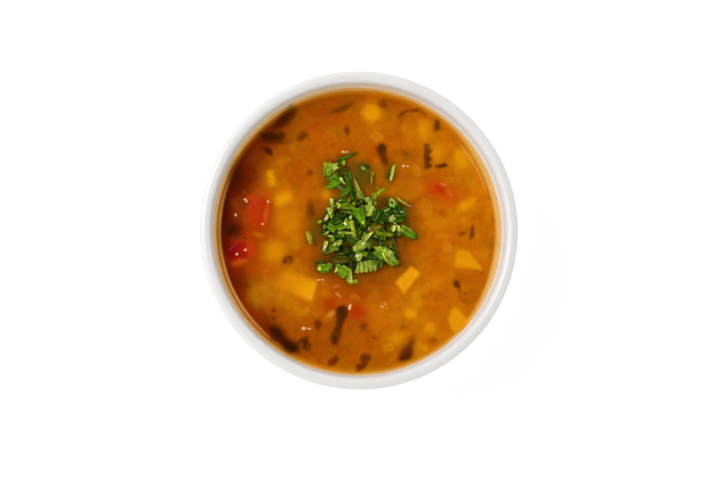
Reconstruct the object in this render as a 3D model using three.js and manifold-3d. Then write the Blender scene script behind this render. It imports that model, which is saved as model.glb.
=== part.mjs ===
// A round white soup bowl of tomato dal: potato dice, tomato, celery and dark leaves break the surface,
// and a heap of chopped coriander lies in the middle.
// Millimetres, +Z up. The origin is the centre of the foot's underside.
import * as THREE from "three";
import { mergeVertices } from "three/addons/utils/BufferGeometryUtils.js";
import Module from "manifold-3d";

const wasm = await Module();
wasm.setup();

// Driving sizes of the bowl.
const RIM_RADIUS = 70;
const BOWL_HEIGHT = 65;
const LIP_THICKNESS = 5.5;
const FLOOR_Z = 9;
const UNDERSIDE_Z = 2.5;
const FOOT_RADIUS = 33;
const FOOT_WIDTH = 4;
const FOOT_TOP_RADIUS = 34.5;

// The bowl's side is a superellipse: a higher power for the radius fills the bottom corner out.
const SIDE_RADIUS_POWER = 2.6;
const SIDE_DEPTH_POWER = 1.7;

// How finely round things are divided: about the bowl's axis, down its side, over its lip and on a piece.
const ROUND_STEPS = 64;
const SIDE_STEPS = 13;
const LIP_STEPS = 6;
const PIECE_CURVE_STEPS = 8;

// The dal's level, and the gap that is left between neighbouring solids.
const DAL_LEVEL = 54;
const GAP = 0.3;

// The pieces that break the surface: how deep each kind reaches, and how wide its broken edges are.
const DICE = { depth: 5, bevel: 0.5 };
const TOMATO = { depth: 4.5, bevel: 0.9, corners: 14, waves: 3, waviness: 0.06 };
const CELERY = { depth: 4, bevel: 0.4 };
const LEAF = { depth: 1.2, bevel: 0, squareness: 2.2, toothDepth: 0.09 };
const POCKET_HEADROOM = 6;

// The coriander heap: its height, the radius between its arms, and the arms themselves. Its top has
// lumps, and sinks from the centre to the tips.
const HEAP_CENTRE = { x: 1.4, y: 3.1 };
const HEAP_HEIGHT = 8;
const HEAP_STEEPNESS = 0.7;
const HEAP_FALL_PER_MM = 0.012;
const HEAP_LUMPS = { height: 0.14, wavelengthX: 14, wavelengthY: 16.5, phase: 1 };
const HEAP_STEPS = { around: 36, over: 16 };
const HEAP_WAIST_RADIUS = 14.5;
const HEAP_ARMS = [
  { toward: 28, reach: 18.5, spread: 20 },
  { toward: 113, reach: 28.5, spread: 26 },
  { toward: 232, reach: 26, spread: 22 },
  { toward: 262, reach: 20, spread: 20 },
  { toward: 308, reach: 21.5, spread: 22 },
  { toward: 352, reach: 22, spread: 22 },
];

// The colour and roughness of each material.
const FINISH = {
  porcelain: { color: 0xe9e7e4, roughness: 0.2 },
  dal: { color: 0xbd6500, roughness: 0.25 },
  potato: { color: 0xe89605, roughness: 0.45 },
  tomato: { color: 0xb83803, roughness: 0.25 },
  celery: { color: 0xb07018, roughness: 0.35 },
  leaf: { color: 0x43200a, roughness: 0.4 },
  coriander: { color: 0x4f7a1a, roughness: 0.6 },
};

// The places of the pieces, from the bowl's axis. The turn is in degrees from +X, proud is how far the
// middle of the top stands over the dal, and lean is the top's rise along the piece and across it.
const POTATO_DICE = [
  { x: -26.5, y: -24.2, length: 14.2, width: 8.0, taper: 1.1, turn: -20, proud: 0.15, lean: [0.06, -0.05] },
  { x: 22.1, y: -21.1, length: 10.8, width: 6.2, taper: 0.8, turn: 48, proud: 0.5, lean: [0.02, 0.03] },
  { x: 48.6, y: -12.2, length: 7.8, width: 12.4, taper: 0.4, turn: 98, proud: 0.35, lean: [0.03, 0.05] },
  { x: 42.2, y: -38.4, length: 8.4, width: 3.8, taper: 1.5, turn: 80, proud: 0.3, lean: [0.0, -0.06] },
  { x: -33.2, y: 13.8, length: 8.6, width: 5.2, taper: 0.9, turn: 28, proud: 0.2, lean: [0.08, 0.05] },
  { x: -38.4, y: 23.0, length: 7.4, width: 4.2, taper: 0.9, turn: 98, proud: 0.2, lean: [0.05, 0.0] },
  { x: -36.8, y: -8.9, length: 7.4, width: 6.4, taper: 0.95, turn: 8, proud: 0.1, lean: [0.02, -0.09] },
  { x: 23.6, y: -36.8, length: 5.4, width: 4.6, taper: 0.8, turn: 20, proud: 0.15, lean: [0.04, 0.0] },
  { x: 32.0, y: -42.8, length: 5.2, width: 4.8, taper: 0.9, turn: 84, proud: 0.1, lean: [0.0, 0.05] },
  { x: 29.4, y: -52.6, length: 5.6, width: 3.8, taper: 0.7, turn: 22, proud: 0.2, lean: [0.0, 0.04] },
];

const TOMATO_PIECES = [
  { x: -43.8, y: 8.2, length: 9.4, width: 12.4, squareness: 4.5, turn: -8, proud: 0.5, lean: [0.05, 0.02] },
  { x: -51.6, y: -11.6, length: 10.6, width: 9.4, squareness: 2.6, turn: 20, proud: 0.5, lean: [0.03, 0.04] },
  { x: 36.0, y: 18.0, length: 12, width: 6.6, squareness: 2.8, turn: -38, proud: 0.3, lean: [-0.03, 0.05] },
  { x: -13.0, y: -32.2, length: 6.4, width: 5.6, squareness: 3.2, turn: 35, proud: 0.2, lean: [0, 0.05] },
  { x: -0.2, y: -36.2, length: 7.6, width: 6.4, squareness: 3, turn: -30, proud: 0.4, lean: [-0.05, 0.04] },
];

const CELERY_SLICES = [
  { x: -42.4, y: -29.0, radius: 5.8, thickness: 3, arc: 200, turn: 150, proud: 0.25, lean: [0.0, 0.0] },
];

const DARK_LEAVES = [
  { x: -38.0, y: 41.6, length: 12.0, width: 4.8, teeth: 10, turn: -3, proud: 0.3, lean: [0.02, 0.03] },
  { x: -36.2, y: -43.6, length: 6.6, width: 5.0, teeth: 8, turn: -35, proud: 0.2, lean: [-0.03, 0.0] },
  { x: -30.0, y: -51.0, length: 10.4, width: 5.0, teeth: 10, turn: -28, proud: 0.4, lean: [0.0, 0.03] },
  { x: -22.4, y: -47.0, length: 6.6, width: 3.2, teeth: 8, turn: 68, proud: 0.2, lean: [0.04, 0.0] },
  { x: -8.8, y: -43.0, length: 14.4, width: 3.2, teeth: 12, turn: 80, proud: 0.4, lean: [0.05, 0.0] },
  { x: 22.2, y: -52.4, length: 9.4, width: 4.8, teeth: 8, turn: 62, proud: 0.2, lean: [-0.04, 0.0] },
  { x: 10.9, y: 34.4, length: 10.4, width: 3.8, teeth: 10, turn: 97, proud: 0.3, lean: [0.05, 0.0] },
  { x: 30.9, y: 33.7, length: 11.0, width: 2.8, teeth: 14, turn: 91, proud: 0.4, lean: [0.02, 0.05] },
  { x: 36.8, y: 28.6, length: 6.6, width: 2.4, teeth: 10, turn: -2, proud: 0.3, lean: [0.0, 0.05] },
];

const radians = THREE.MathUtils.degToRad;

// A closed geometry as a solid, in the place that the matrix gives.
function solidOf(geometry, matrix = new THREE.Matrix4()) {
  const plain = geometry.clone().applyMatrix4(matrix);
  plain.deleteAttribute("normal");
  plain.deleteAttribute("uv");
  const merged = mergeVertices(plain, 1e-3);
  return new wasm.Manifold(
    new wasm.Mesh({
      numProp: 3,
      vertProperties: merged.attributes.position.array,
      triVerts: new Uint32Array(merged.index.array),
    }),
  );
}

function geometryOf(solid) {
  const { vertProperties, triVerts } = solid.getMesh();
  const geometry = new THREE.BufferGeometry();
  geometry.setAttribute("position", new THREE.BufferAttribute(vertProperties, 3));
  geometry.setIndex(new THREE.BufferAttribute(triVerts, 1));
  geometry.computeVertexNormals();
  return geometry;
}

function named(name, geometry, finish) {
  const mesh = new THREE.Mesh(geometry, new THREE.MeshStandardMaterial({ ...finish, metalness: 0 }));
  mesh.name = name;
  return mesh;
}

// A section of points (radius, height) spun round the bowl's axis.
function spun(points) {
  return new THREE.LatheGeometry(points, ROUND_STEPS).rotateX(Math.PI / 2);
}

const lipCentreZ = BOWL_HEIGHT - LIP_THICKNESS / 2;
const innerRadius = RIM_RADIUS - LIP_THICKNESS;

// A side from its lowest point on the axis up to the lip's centre height.
function sidePoints(radius, bottomZ) {
  const depth = lipCentreZ - bottomZ;
  return Array.from({ length: SIDE_STEPS + 1 }, (_, i) => {
    const t = ((i / SIDE_STEPS) * Math.PI) / 2;
    return new THREE.Vector2(
      radius * Math.sin(t) ** (2 / SIDE_RADIUS_POWER),
      lipCentreZ - depth * Math.cos(t) ** (2 / SIDE_DEPTH_POWER),
    );
  });
}

// The height of that side at a given distance from the axis.
function sideHeight(radius, bottomZ, distance) {
  const reach = (1 - (distance / radius) ** SIDE_RADIUS_POWER) ** (1 / SIDE_DEPTH_POWER);
  return lipCentreZ - (lipCentreZ - bottomZ) * reach;
}

function lipPoints() {
  const half = LIP_THICKNESS / 2;
  return Array.from({ length: LIP_STEPS - 1 }, (_, i) => {
    const a = ((i + 1) / LIP_STEPS) * Math.PI;
    return new THREE.Vector2(RIM_RADIUS - half + half * Math.cos(a), lipCentreZ + half * Math.sin(a));
  });
}

function makeBowl() {
  const foot = [
    new THREE.Vector2(0, UNDERSIDE_Z),
    new THREE.Vector2(FOOT_RADIUS - FOOT_WIDTH, UNDERSIDE_Z),
    new THREE.Vector2(FOOT_RADIUS - FOOT_WIDTH, 0),
    new THREE.Vector2(FOOT_RADIUS, 0),
    new THREE.Vector2(FOOT_TOP_RADIUS, sideHeight(RIM_RADIUS, UNDERSIDE_Z, FOOT_TOP_RADIUS)),
  ];
  const outside = sidePoints(RIM_RADIUS, UNDERSIDE_Z).filter((point) => point.x > FOOT_TOP_RADIUS);
  const inside = sidePoints(innerRadius, FLOOR_Z).reverse();
  return named("bowl", spun([...foot, ...outside, ...lipPoints(), ...inside]), FINISH.porcelain);
}

// A four-sided cut of potato: its far end is taper times as wide as the near end.
function diceOutline({ length, width, taper }, grow) {
  const half = length / 2 + grow;
  const near = width / 2 + grow;
  const far = (width * taper) / 2 + grow;
  return new THREE.Shape([
    new THREE.Vector2(-half, -near),
    new THREE.Vector2(half, -far),
    new THREE.Vector2(half, far),
    new THREE.Vector2(-half, near),
  ]);
}

// A closed outline through a number of points, whose radius depends on the angle and the point's number.
function polarOutline(steps, radiusAt) {
  return new THREE.Shape(
    Array.from({ length: steps }, (_, i) => {
      const a = (i / steps) * 2 * Math.PI;
      const r = radiusAt(a, i);
      return new THREE.Vector2(r * Math.cos(a), r * Math.sin(a));
    }),
  );
}

function superellipseRadius(a, length, width, squareness) {
  const along = Math.abs((2 * Math.cos(a)) / length) ** squareness;
  const across = Math.abs((2 * Math.sin(a)) / width) ** squareness;
  return (along + across) ** (-1 / squareness);
}

function tomatoOutline({ length, width, squareness }, grow) {
  return polarOutline(TOMATO.corners, (a) => {
    const wave = 1 + TOMATO.waviness * Math.sin(TOMATO.waves * a + length);
    return wave * superellipseRadius(a, length, width, squareness) + grow;
  });
}

function leafOutline({ length, width, teeth }, grow) {
  return polarOutline(2 * teeth, (a, i) => {
    const tooth = 1 + (i % 2 === 0 ? LEAF.toothDepth : -LEAF.toothDepth);
    return tooth * superellipseRadius(a, length, width, LEAF.squareness) + grow;
  });
}

function celeryOutline({ radius, thickness, arc }, grow) {
  const half = radians(arc / 2) + grow / (radius - thickness);
  const shape = new THREE.Shape();
  shape.absarc(0, 0, radius + grow, -half, half, false);
  shape.absarc(0, 0, radius - thickness - grow, half, -half, true);
  return shape;
}

// The top of an extruded piece lies at z = 0 and leans; its sides stay upright.
function uprightPiece(outline, { depth, bevel }, lean) {
  const geometry = new THREE.ExtrudeGeometry(outline, {
    depth: depth - 2 * bevel,
    bevelEnabled: bevel > 0,
    bevelThickness: bevel,
    bevelSize: bevel,
    bevelOffset: -bevel,
    bevelSegments: 1,
    curveSegments: PIECE_CURVE_STEPS,
  });
  geometry.translate(0, 0, bevel - depth);
  const at = geometry.attributes.position;
  for (let i = 0; i < at.count; i += 1) {
    const isTop = at.getZ(i) > -depth / 2;
    if (isTop) at.setZ(i, at.getZ(i) + lean[0] * at.getX(i) + lean[1] * at.getY(i));
  }
  geometry.computeVertexNormals();
  return geometry;
}

// The room in the dal that a piece needs, open at the top.
function pocketFor(outline, depth) {
  const pocket = new THREE.ExtrudeGeometry(outline, {
    depth: depth + GAP + POCKET_HEADROOM,
    bevelEnabled: false,
    curveSegments: PIECE_CURVE_STEPS,
  });
  return pocket.translate(0, 0, -depth - GAP);
}

// All the pieces of one kind, each as a mesh that is placed from the dal's level, and its pocket.
function piecesOf(name, places, outline, kind, finish) {
  return places.map((place, i) => {
    const title = places.length > 1 ? `${name}_${i + 1}` : name;
    const mesh = named(title, uprightPiece(outline(place, 0), kind, place.lean), finish);
    mesh.position.set(place.x, place.y, place.proud);
    mesh.rotation.z = radians(place.turn);
    mesh.updateMatrix();
    return { mesh, pocket: pocketFor(outline(place, GAP), kind.depth) };
  });
}

function makeFoodPieces() {
  return [
    ...piecesOf("potato_dice", POTATO_DICE, diceOutline, DICE, FINISH.potato),
    ...piecesOf("tomato_piece", TOMATO_PIECES, tomatoOutline, TOMATO, FINISH.tomato),
    ...piecesOf("celery_slice", CELERY_SLICES, celeryOutline, CELERY, FINISH.celery),
    ...piecesOf("dark_leaf", DARK_LEAVES, leafOutline, LEAF, FINISH.leaf),
  ];
}

// The dal fills the bowl up to its level, cut round every piece that breaks the surface.
function makeDal(pieces) {
  const side = sidePoints(innerRadius - GAP, FLOOR_Z + GAP);
  const filling = spun([...side, new THREE.Vector2(0, lipCentreZ)]);
  const below = new THREE.CylinderGeometry(RIM_RADIUS, RIM_RADIUS, DAL_LEVEL, ROUND_STEPS);
  below.rotateX(Math.PI / 2).translate(0, 0, DAL_LEVEL / 2);
  let dal = solidOf(filling).intersect(solidOf(below));
  for (const { mesh, pocket } of pieces) {
    const place = new THREE.Matrix4().makeTranslation(0, 0, DAL_LEVEL).multiply(mesh.matrix);
    dal = dal.subtract(solidOf(pocket, place));
  }
  return named("dal", geometryOf(dal), FINISH.dal);
}

// The heap's outline: a round waist with arms that fade out to both sides.
function heapRadius(a) {
  return HEAP_ARMS.reduce((radius, { toward, reach, spread }) => {
    const turn = a - radians(toward);
    const away = Math.atan2(Math.sin(turn), Math.cos(turn)) / radians(spread);
    return radius + (reach - HEAP_WAIST_RADIUS) * Math.exp(-away * away);
  }, HEAP_WAIST_RADIUS);
}

function heapLumps(x, y) {
  const alongX = Math.sin((2 * Math.PI * x) / HEAP_LUMPS.wavelengthX + HEAP_LUMPS.phase);
  const alongY = Math.cos((2 * Math.PI * y) / HEAP_LUMPS.wavelengthY);
  return HEAP_LUMPS.height * alongX * alongY;
}

// The heap is a ball pulled out to its arms, flat underneath and lumpy on top.
function makeHerbHeap() {
  const geometry = new THREE.SphereGeometry(1, HEAP_STEPS.around, HEAP_STEPS.over).rotateX(Math.PI / 2);
  const at = geometry.attributes.position;
  for (let i = 0; i < at.count; i += 1) {
    const a = Math.atan2(at.getY(i), at.getX(i));
    const reach = heapRadius(a) * Math.hypot(at.getX(i), at.getY(i));
    const x = reach * Math.cos(a);
    const y = reach * Math.sin(a);
    const dome = Math.max(0, at.getZ(i)) ** HEAP_STEEPNESS;
    at.setXYZ(i, x, y, HEAP_HEIGHT * dome * (1 + heapLumps(x, y) - HEAP_FALL_PER_MM * reach));
  }
  geometry.computeVertexNormals();
  const heap = named("herb_heap", geometry, FINISH.coriander);
  heap.position.set(HEAP_CENTRE.x, HEAP_CENTRE.y, GAP);
  return heap;
}

function makeBowlOfDal() {
  const pieces = makeFoodPieces();
  const onTheDal = new THREE.Group();
  onTheDal.position.z = DAL_LEVEL;
  onTheDal.add(...pieces.map(({ mesh }) => mesh), makeHerbHeap());
  return new THREE.Group().add(makeBowl(), makeDal(pieces), onTheDal);
}

export default makeBowlOfDal();
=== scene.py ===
"""The looks of a bowl of tomato dal: a glazed white bowl, the dal with what floats and lies in it, and a
heap of chopped coriander on top. Metres, +Z up, the image's top is +Y."""
import math
import random

import bmesh
import bpy
import numpy as np
from mathutils import Matrix, Vector, noise
from mathutils.bvhtree import BVHTree


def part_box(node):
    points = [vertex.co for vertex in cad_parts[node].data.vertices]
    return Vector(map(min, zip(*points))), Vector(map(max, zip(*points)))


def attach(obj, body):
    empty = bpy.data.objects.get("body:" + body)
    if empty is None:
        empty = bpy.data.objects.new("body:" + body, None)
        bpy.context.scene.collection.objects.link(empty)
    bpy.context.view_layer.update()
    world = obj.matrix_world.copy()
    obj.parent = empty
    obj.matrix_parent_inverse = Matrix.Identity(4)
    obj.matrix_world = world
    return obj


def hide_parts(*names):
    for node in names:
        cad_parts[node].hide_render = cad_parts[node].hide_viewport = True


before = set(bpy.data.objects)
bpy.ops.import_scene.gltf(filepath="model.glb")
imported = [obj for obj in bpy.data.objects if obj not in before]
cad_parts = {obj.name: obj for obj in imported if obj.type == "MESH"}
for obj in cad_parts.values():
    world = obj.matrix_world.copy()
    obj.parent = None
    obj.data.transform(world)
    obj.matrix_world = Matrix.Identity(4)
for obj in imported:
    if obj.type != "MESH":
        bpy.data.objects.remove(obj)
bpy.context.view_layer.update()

MM = 0.001

# The bowl, whose width, height and filling come from the frame.
RIM_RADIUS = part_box("bowl")[1].x
BOWL_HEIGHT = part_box("bowl")[1].z
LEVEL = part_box("dal")[1].z
LIP_THICKNESS = 5.5 * MM
FLOOR_Z = 9 * MM
UNDERSIDE_Z = 2.5 * MM
FOOT_RADIUS = 33 * MM
FOOT_WIDTH = 4 * MM
FOOT_TOP_RADIUS = 34.5 * MM
SIDE_RADIUS_POWER = 2.6
SIDE_DEPTH_POWER = 1.7
INNER_RADIUS = RIM_RADIUS - LIP_THICKNESS
LIP_Z = BOWL_HEIGHT - LIP_THICKNESS / 2


def side_point(radius, bottom, t):
    """A point (distance from the axis, height) on a side: t is 0 on the axis and 1 at the lip's centre."""
    a = t * math.pi / 2
    reach = math.sin(a) ** (2 / SIDE_RADIUS_POWER)
    depth = max(math.cos(a), 0.0) ** (2 / SIDE_DEPTH_POWER)
    return radius * reach, LIP_Z - (LIP_Z - bottom) * depth


def side_radius(radius, bottom, z):
    """How far that side is from the axis at a height."""
    depth = (LIP_Z - z) / (LIP_Z - bottom)
    return radius * (1 - depth**SIDE_DEPTH_POWER) ** (1 / SIDE_RADIUS_POWER)


def side_height(radius, bottom, distance):
    """How high that side is at a distance from the axis."""
    reach = (1 - (distance / radius) ** SIDE_RADIUS_POWER) ** (1 / SIDE_DEPTH_POWER)
    return LIP_Z - (LIP_Z - bottom) * reach


def seen(red, green, blue):
    """The surface colour that looks like this colour of a screen, 0 to 255, under the studio's light."""
    parts = (c / 255 for c in (red, green, blue))
    return tuple(c / 12.92 if c <= 0.04045 else ((c + 0.055) / 1.055) ** 2.4 for c in parts)


# Finishes


def arithmetic(operation, swapped=False):
    """A method of Number that adds a Math node for it and what stands on its other side."""

    def method(number, other):
        return number.finish.math(operation, *((other, number) if swapped else (number, other)))

    return method


class Number:
    """A number that varies over a surface. Python's arithmetic on it adds Math nodes."""

    __add__ = __radd__ = arithmetic("ADD")
    __sub__, __rsub__ = arithmetic("SUBTRACT"), arithmetic("SUBTRACT", True)
    __mul__ = __rmul__ = arithmetic("MULTIPLY")
    __truediv__ = arithmetic("DIVIDE")

    def __init__(self, finish, socket):
        self.finish = finish
        self.socket = socket

    def rise(self, low, high):
        """0 below low and 1 above high, with a smooth step between. Low may be above high."""
        node = self.finish.node(
            "ShaderNodeMapRange",
            {"interpolation_type": "SMOOTHSTEP", "clamp": True},
            {"Value": self, "From Min": low, "From Max": high, "To Min": 0.0, "To Max": 1.0},
        )
        return Number(self.finish, node.outputs["Result"])


class Finish:
    """A material being made. Sockets hold numbers, colours, Numbers or other nodes' sockets."""

    def __init__(self, name, **constants):
        self.material = bpy.data.materials.new(name)
        self.material.use_nodes = True
        self.tree = self.material.node_tree
        self.shader = self.tree.nodes["Principled BSDF"]
        for words, value in constants.items():
            self.shader.inputs[words.replace("_", " ")].default_value = value
        self.place = self.node("ShaderNodeTexCoord").outputs["Object"]

    def node(self, kind, settings=None, sockets=None):
        made = self.tree.nodes.new(kind)
        for key, value in (settings or {}).items():
            setattr(made, key, value)
        for key, value in (sockets or {}).items():
            self.plug(made.inputs[key], value)
        return made

    def plug(self, socket, value):
        if isinstance(value, Number):
            value = value.socket
        if isinstance(value, bpy.types.NodeSocket):
            self.tree.links.new(value, socket)
        elif isinstance(value, (tuple, list)) and len(value) == 3 and socket.type == "RGBA":
            socket.default_value = (*value, 1.0)
        else:
            socket.default_value = value

    def math(self, operation, *values):
        made = self.tree.nodes.new("ShaderNodeMath")
        made.operation = operation
        for socket, value in zip(made.inputs, values):
            self.plug(socket, value)
        return Number(self, made.outputs[0])

    def noise(self, size, detail=2.0, roughness=0.5, stretch=(1.0, 1.0, 1.0), place=None):
        """Cloudy noise from 0 to 1 whose largest lumps are about size across."""
        scale = tuple(s / size for s in stretch)
        spread = self.node("ShaderNodeMapping", {}, {"Vector": place or self.place, "Scale": scale})
        sockets = {"Vector": spread.outputs[0], "Scale": 1.0, "Detail": detail, "Roughness": roughness}
        made = self.node("ShaderNodeTexNoise", {}, sockets)
        return Number(self, made.outputs["Fac"])

    def cells(self, size):
        """The distance to the nearest of many scattered points, in cells of that size."""
        place = self.node("ShaderNodeMapping", {}, {"Vector": self.place, "Scale": (1 / size,) * 3})
        made = self.node("ShaderNodeTexVoronoi", {}, {"Vector": place.outputs[0], "Scale": 1.0})
        return Number(self, made.outputs["Distance"])

    def mix(self, first, second, share):
        """A colour between two colours."""
        made = self.node("ShaderNodeMix", {"data_type": "RGBA"}, {0: share, 6: first, 7: second})
        return made.outputs[2]

    def tint(self, first, second):
        """One colour multiplied by another."""
        made = self.node(
            "ShaderNodeMix", {"data_type": "RGBA", "blend_type": "MULTIPLY"}, {0: 1.0, 6: first, 7: second}
        )
        return made.outputs[2]

    def shade(self, colour, number):
        """A colour made lighter or darker by a number."""
        grey = self.node("ShaderNodeCombineColor", {}, {0: number, 1: number, 2: number}).outputs[0]
        return self.tint(colour, grey)

    def attribute(self, name):
        return self.node("ShaderNodeAttribute", {"attribute_name": name}).outputs["Color"]

    def vector(self, operation, *vectors):
        """The result of a Vector Math node, as a Number where it is one."""
        made = self.node("ShaderNodeVectorMath", {"operation": operation}, dict(enumerate(vectors)))
        return Number(self, made.outputs[1]) if operation in ("LENGTH", "DOT_PRODUCT") else made.outputs[0]

    def axis(self, letter):
        """The distance along X, Y or Z."""
        return Number(self, self.node("ShaderNodeSeparateXYZ", {}, {0: self.place}).outputs[letter])

    def bump(self, height, distance):
        return self.node("ShaderNodeBump", {}, {"Height": height, "Distance": distance}).outputs[0]

    def finished(self, **varying):
        for words, value in varying.items():
            self.plug(self.shader.inputs[words.replace("_", " ")], value)
        return self.material


# Towards which side the inner wall over the dal is painted yellowest: the side nearest the lamp, whose inner
# wall is in shade.
SHADED_WALL_SIDE = (-0.42, 0.91, 0.0)


def glazed_porcelain():
    finish = Finish("glazed_porcelain", IOR=1.5, Coat_Roughness=0.3)
    height = finish.axis("Z")
    radius = finish.vector("LENGTH", finish.vector("MULTIPLY", finish.place, (1, 1, 0)))
    clay = finish.mix((0.86, 0.852, 0.84), (0.81, 0.80, 0.785), finish.noise(22 * MM, 3.0))
    bare = height.rise(1.1 * MM, 0.5 * MM)
    inside = radius.rise(INNER_RADIUS + 1.2 * MM, INNER_RADIUS + 0.4 * MM)
    inside = inside * (height - LEVEL).rise(-4 * MM, -3 * MM)
    ripple = (finish.noise(9 * MM, 3.0) - 0.5) * (1.0 * MM)
    over_dal = height - LEVEL + ripple
    # Over the dal the inner wall has painted light: bluish to offset the orange light the dal bounces onto
    # it, and yellow-tan towards its shaded side as painted shade and bounced light.
    behind = (finish.vector("DOT_PRODUCT", finish.place, SHADED_WALL_SIDE) / radius).rise(0.35, 0.95)
    painted_bounce_and_shade = finish.mix((0.86, 0.95, 0.96), (0.93, 0.87, 0.61), behind)
    wall = finish.mix(clay, painted_bounce_and_shade, over_dal.rise(10 * MM, 4 * MM) * inside)
    film = over_dal.rise(1.9 * MM, 1.1 * MM) * inside
    stained_and_shaded = finish.mix(wall, seen(240, 206, 146), film * 0.9)
    colour = finish.mix(stained_and_shaded, (0.66, 0.61, 0.53), bare)
    return finish.finished(
        Base_Color=colour,
        Roughness=0.28 + 0.35 * bare + 0.3 * inside + 0.04 * finish.noise(6 * MM, 2.0),
        Coat_Weight=0.3 * (1 - bare) * (1 - inside),
        Normal=finish.bump(finish.noise(14 * MM, 2.0) + bare * finish.noise(0.5 * MM, 2.0), 0.05 * MM),
    )


def dal_broth():
    finish = Finish("dal_broth", IOR=1.33, Specular_IOR_Level=0.25)
    grain = finish.noise(0.9 * MM, 2.0, 0.7)
    cloud = finish.noise(9 * MM, 3.0, 0.55)
    broth = finish.shade(finish.attribute("dal_colour_with_painted_shade"), 0.76 + 0.2 * cloud + 0.26 * grain)
    spice = finish.cells(2.7 * MM).rise(0.15, 0.07) * finish.noise(6 * MM, 1.0).rise(0.5, 0.6)
    broth = finish.mix(broth, seen(122, 40, 2), spice * 0.45)
    crumb = finish.cells(3.3 * MM).rise(0.13, 0.05) * finish.noise(5 * MM, 1.0).rise(0.42, 0.36)
    return finish.finished(
        Base_Color=finish.mix(broth, seen(232, 142, 18), crumb * 0.5),
        Roughness=0.15 + 0.08 * grain,
        Normal=finish.bump(finish.noise(3.2 * MM, 3.0, 0.6) + 0.35 * finish.noise(0.8 * MM, 2.0), 0.16 * MM),
    )


def wet_food(name, spot, grain_size, relief, roughness=0.3, coat=0.0):
    """Food that stands out of the dal, lapped by it: it has the dal's colours, painted shade included, where
    it lies.
    """
    finish = Finish(name, IOR=1.36, Specular_IOR_Level=0.3, Coat_Weight=coat, Coat_Roughness=0.06)
    grain = finish.noise(grain_size, 4.0, 0.65)
    flesh = finish.mix(finish.attribute("dal_colour_with_painted_shade"), spot, grain.rise(0.56, 0.8) * 0.3)
    return finish.finished(
        Base_Color=finish.shade(flesh, 0.9 + 0.14 * grain + 0.08 * finish.noise(grain_size * 6, 2.0)),
        Roughness=roughness + 0.12 * grain,
        Normal=finish.bump(grain, relief),
    )


def chopped_coriander():
    """Leaf green by bit, with paler veins along each bit and the dal's tint where it dips in."""
    finish = Finish("chopped_coriander", IOR=1.4, Specular_IOR_Level=0.04, Coat_Roughness=0.1)
    flat = finish.node("ShaderNodeUVMap", {"uv_map": "leaf_plan"}).outputs[0]
    parts = finish.node("ShaderNodeSeparateXYZ", {}, {0: flat})
    along = Number(finish, parts.outputs["X"])
    across = finish.math("ABSOLUTE", Number(finish, parts.outputs["Y"]))
    midrib = across.rise(0.2, 0.06)
    side = finish.math("FRACT", (along - 0.9 * across) / 1.3) - 0.5
    side_vein = finish.math("ABSOLUTE", side).rise(0.13, 0.04)
    vein = finish.math("MAXIMUM", midrib, side_vein * 0.6)
    mottle = finish.noise(1.5 * MM, 3.0, 0.6)
    streak = finish.noise(1.3, 3.0, 0.55, (0.15, 1.0, 1.0), flat)
    tone = finish.attribute("leaf_tone")
    dark = finish.shade(tone, 0.1 + 1.0 * mottle)
    light = finish.mix(finish.shade(tone, 1.7), seen(206, 212, 92), 0.06)
    sheen = finish.noise(2.4 * MM, 3.0, 0.6).rise(0.44, 0.6)
    green = finish.mix(dark, light, streak.rise(0.4, 0.62) * 0.5 + sheen * 0.35 + vein * 0.15)
    sunk = (finish.axis("Z") - LEVEL).rise(0.6 * MM, -0.05 * MM)
    return finish.finished(
        Base_Color=finish.mix(green, seen(96, 66, 3), sunk * 0.7),
        Roughness=0.34 + 0.2 * mottle,
        Coat_Weight=finish.noise(2.6 * MM, 2.0).rise(0.6, 0.75) * 0.3,
        Normal=finish.bump(mottle + 0.4 * vein + 0.5 * streak, 0.14 * MM),
    )


def minced_coriander():
    """The olive mince of leaf and dal that lies under the loose bits."""
    finish = Finish("minced_coriander", IOR=1.38, Specular_IOR_Level=0.04)
    chips = finish.cells(1.2 * MM)
    mottle = finish.noise(2.8 * MM, 3.0, 0.6)
    wet = finish.mix(seen(122, 84, 4), seen(64, 58, 3), mottle.rise(0.42, 0.6))
    return finish.finished(
        Base_Color=finish.mix(wet, seen(96, 98, 8), chips.rise(0.45, 0.2) * 0.5),
        Roughness=0.4 + 0.2 * mottle,
        Normal=finish.bump(chips, 0.12 * MM),
    )


def bubble_film():
    """Thin froth: the dal's colour with painted cream-coloured glints."""
    finish = Finish("bubble_film", IOR=1.33, Specular_IOR_Level=0.12)
    glint = finish.noise(0.8 * MM, 2.0).rise(0.4, 0.6)
    froth_and_painted_glint = finish.mix(finish.attribute("dal_colour_with_painted_shade"), seen(255, 208, 150), 0.45 + 0.55 * glint)
    return finish.finished(Base_Color=froth_and_painted_glint, Roughness=0.3 + 0.1 * glint)


# Making meshes


def mesh_of(bm, name):
    mesh = bpy.data.meshes.new(name)
    bm.to_mesh(mesh)
    bm.free()
    return mesh


def placed(name, data):
    """A new object in the scene."""
    made = bpy.data.objects.new(name, data)
    bpy.context.scene.collection.objects.link(made)
    return made


def piece(name, mesh, material, replaced=()):
    """Puts a finished mesh into the scene as a smooth-shaded piece of the object."""
    mesh.name = name
    mesh.materials.clear()
    mesh.materials.append(material)
    mesh.polygons.foreach_set("use_smooth", [True] * len(mesh.polygons))
    made = placed(name, mesh)
    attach(made, "root")
    if replaced:
        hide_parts(*replaced)


def turn_round(bm, degrees):
    """Turns a body about the Z axis."""
    turn = Matrix.Rotation(math.radians(degrees), 3, "Z")
    bmesh.ops.rotate(bm, cent=(0, 0, 0), matrix=turn, verts=bm.verts)


def joined(meshes, name):
    bm = bmesh.new()
    for mesh in meshes:
        bm.from_mesh(mesh)
        bpy.data.meshes.remove(mesh)
    return mesh_of(bm, name)


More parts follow.
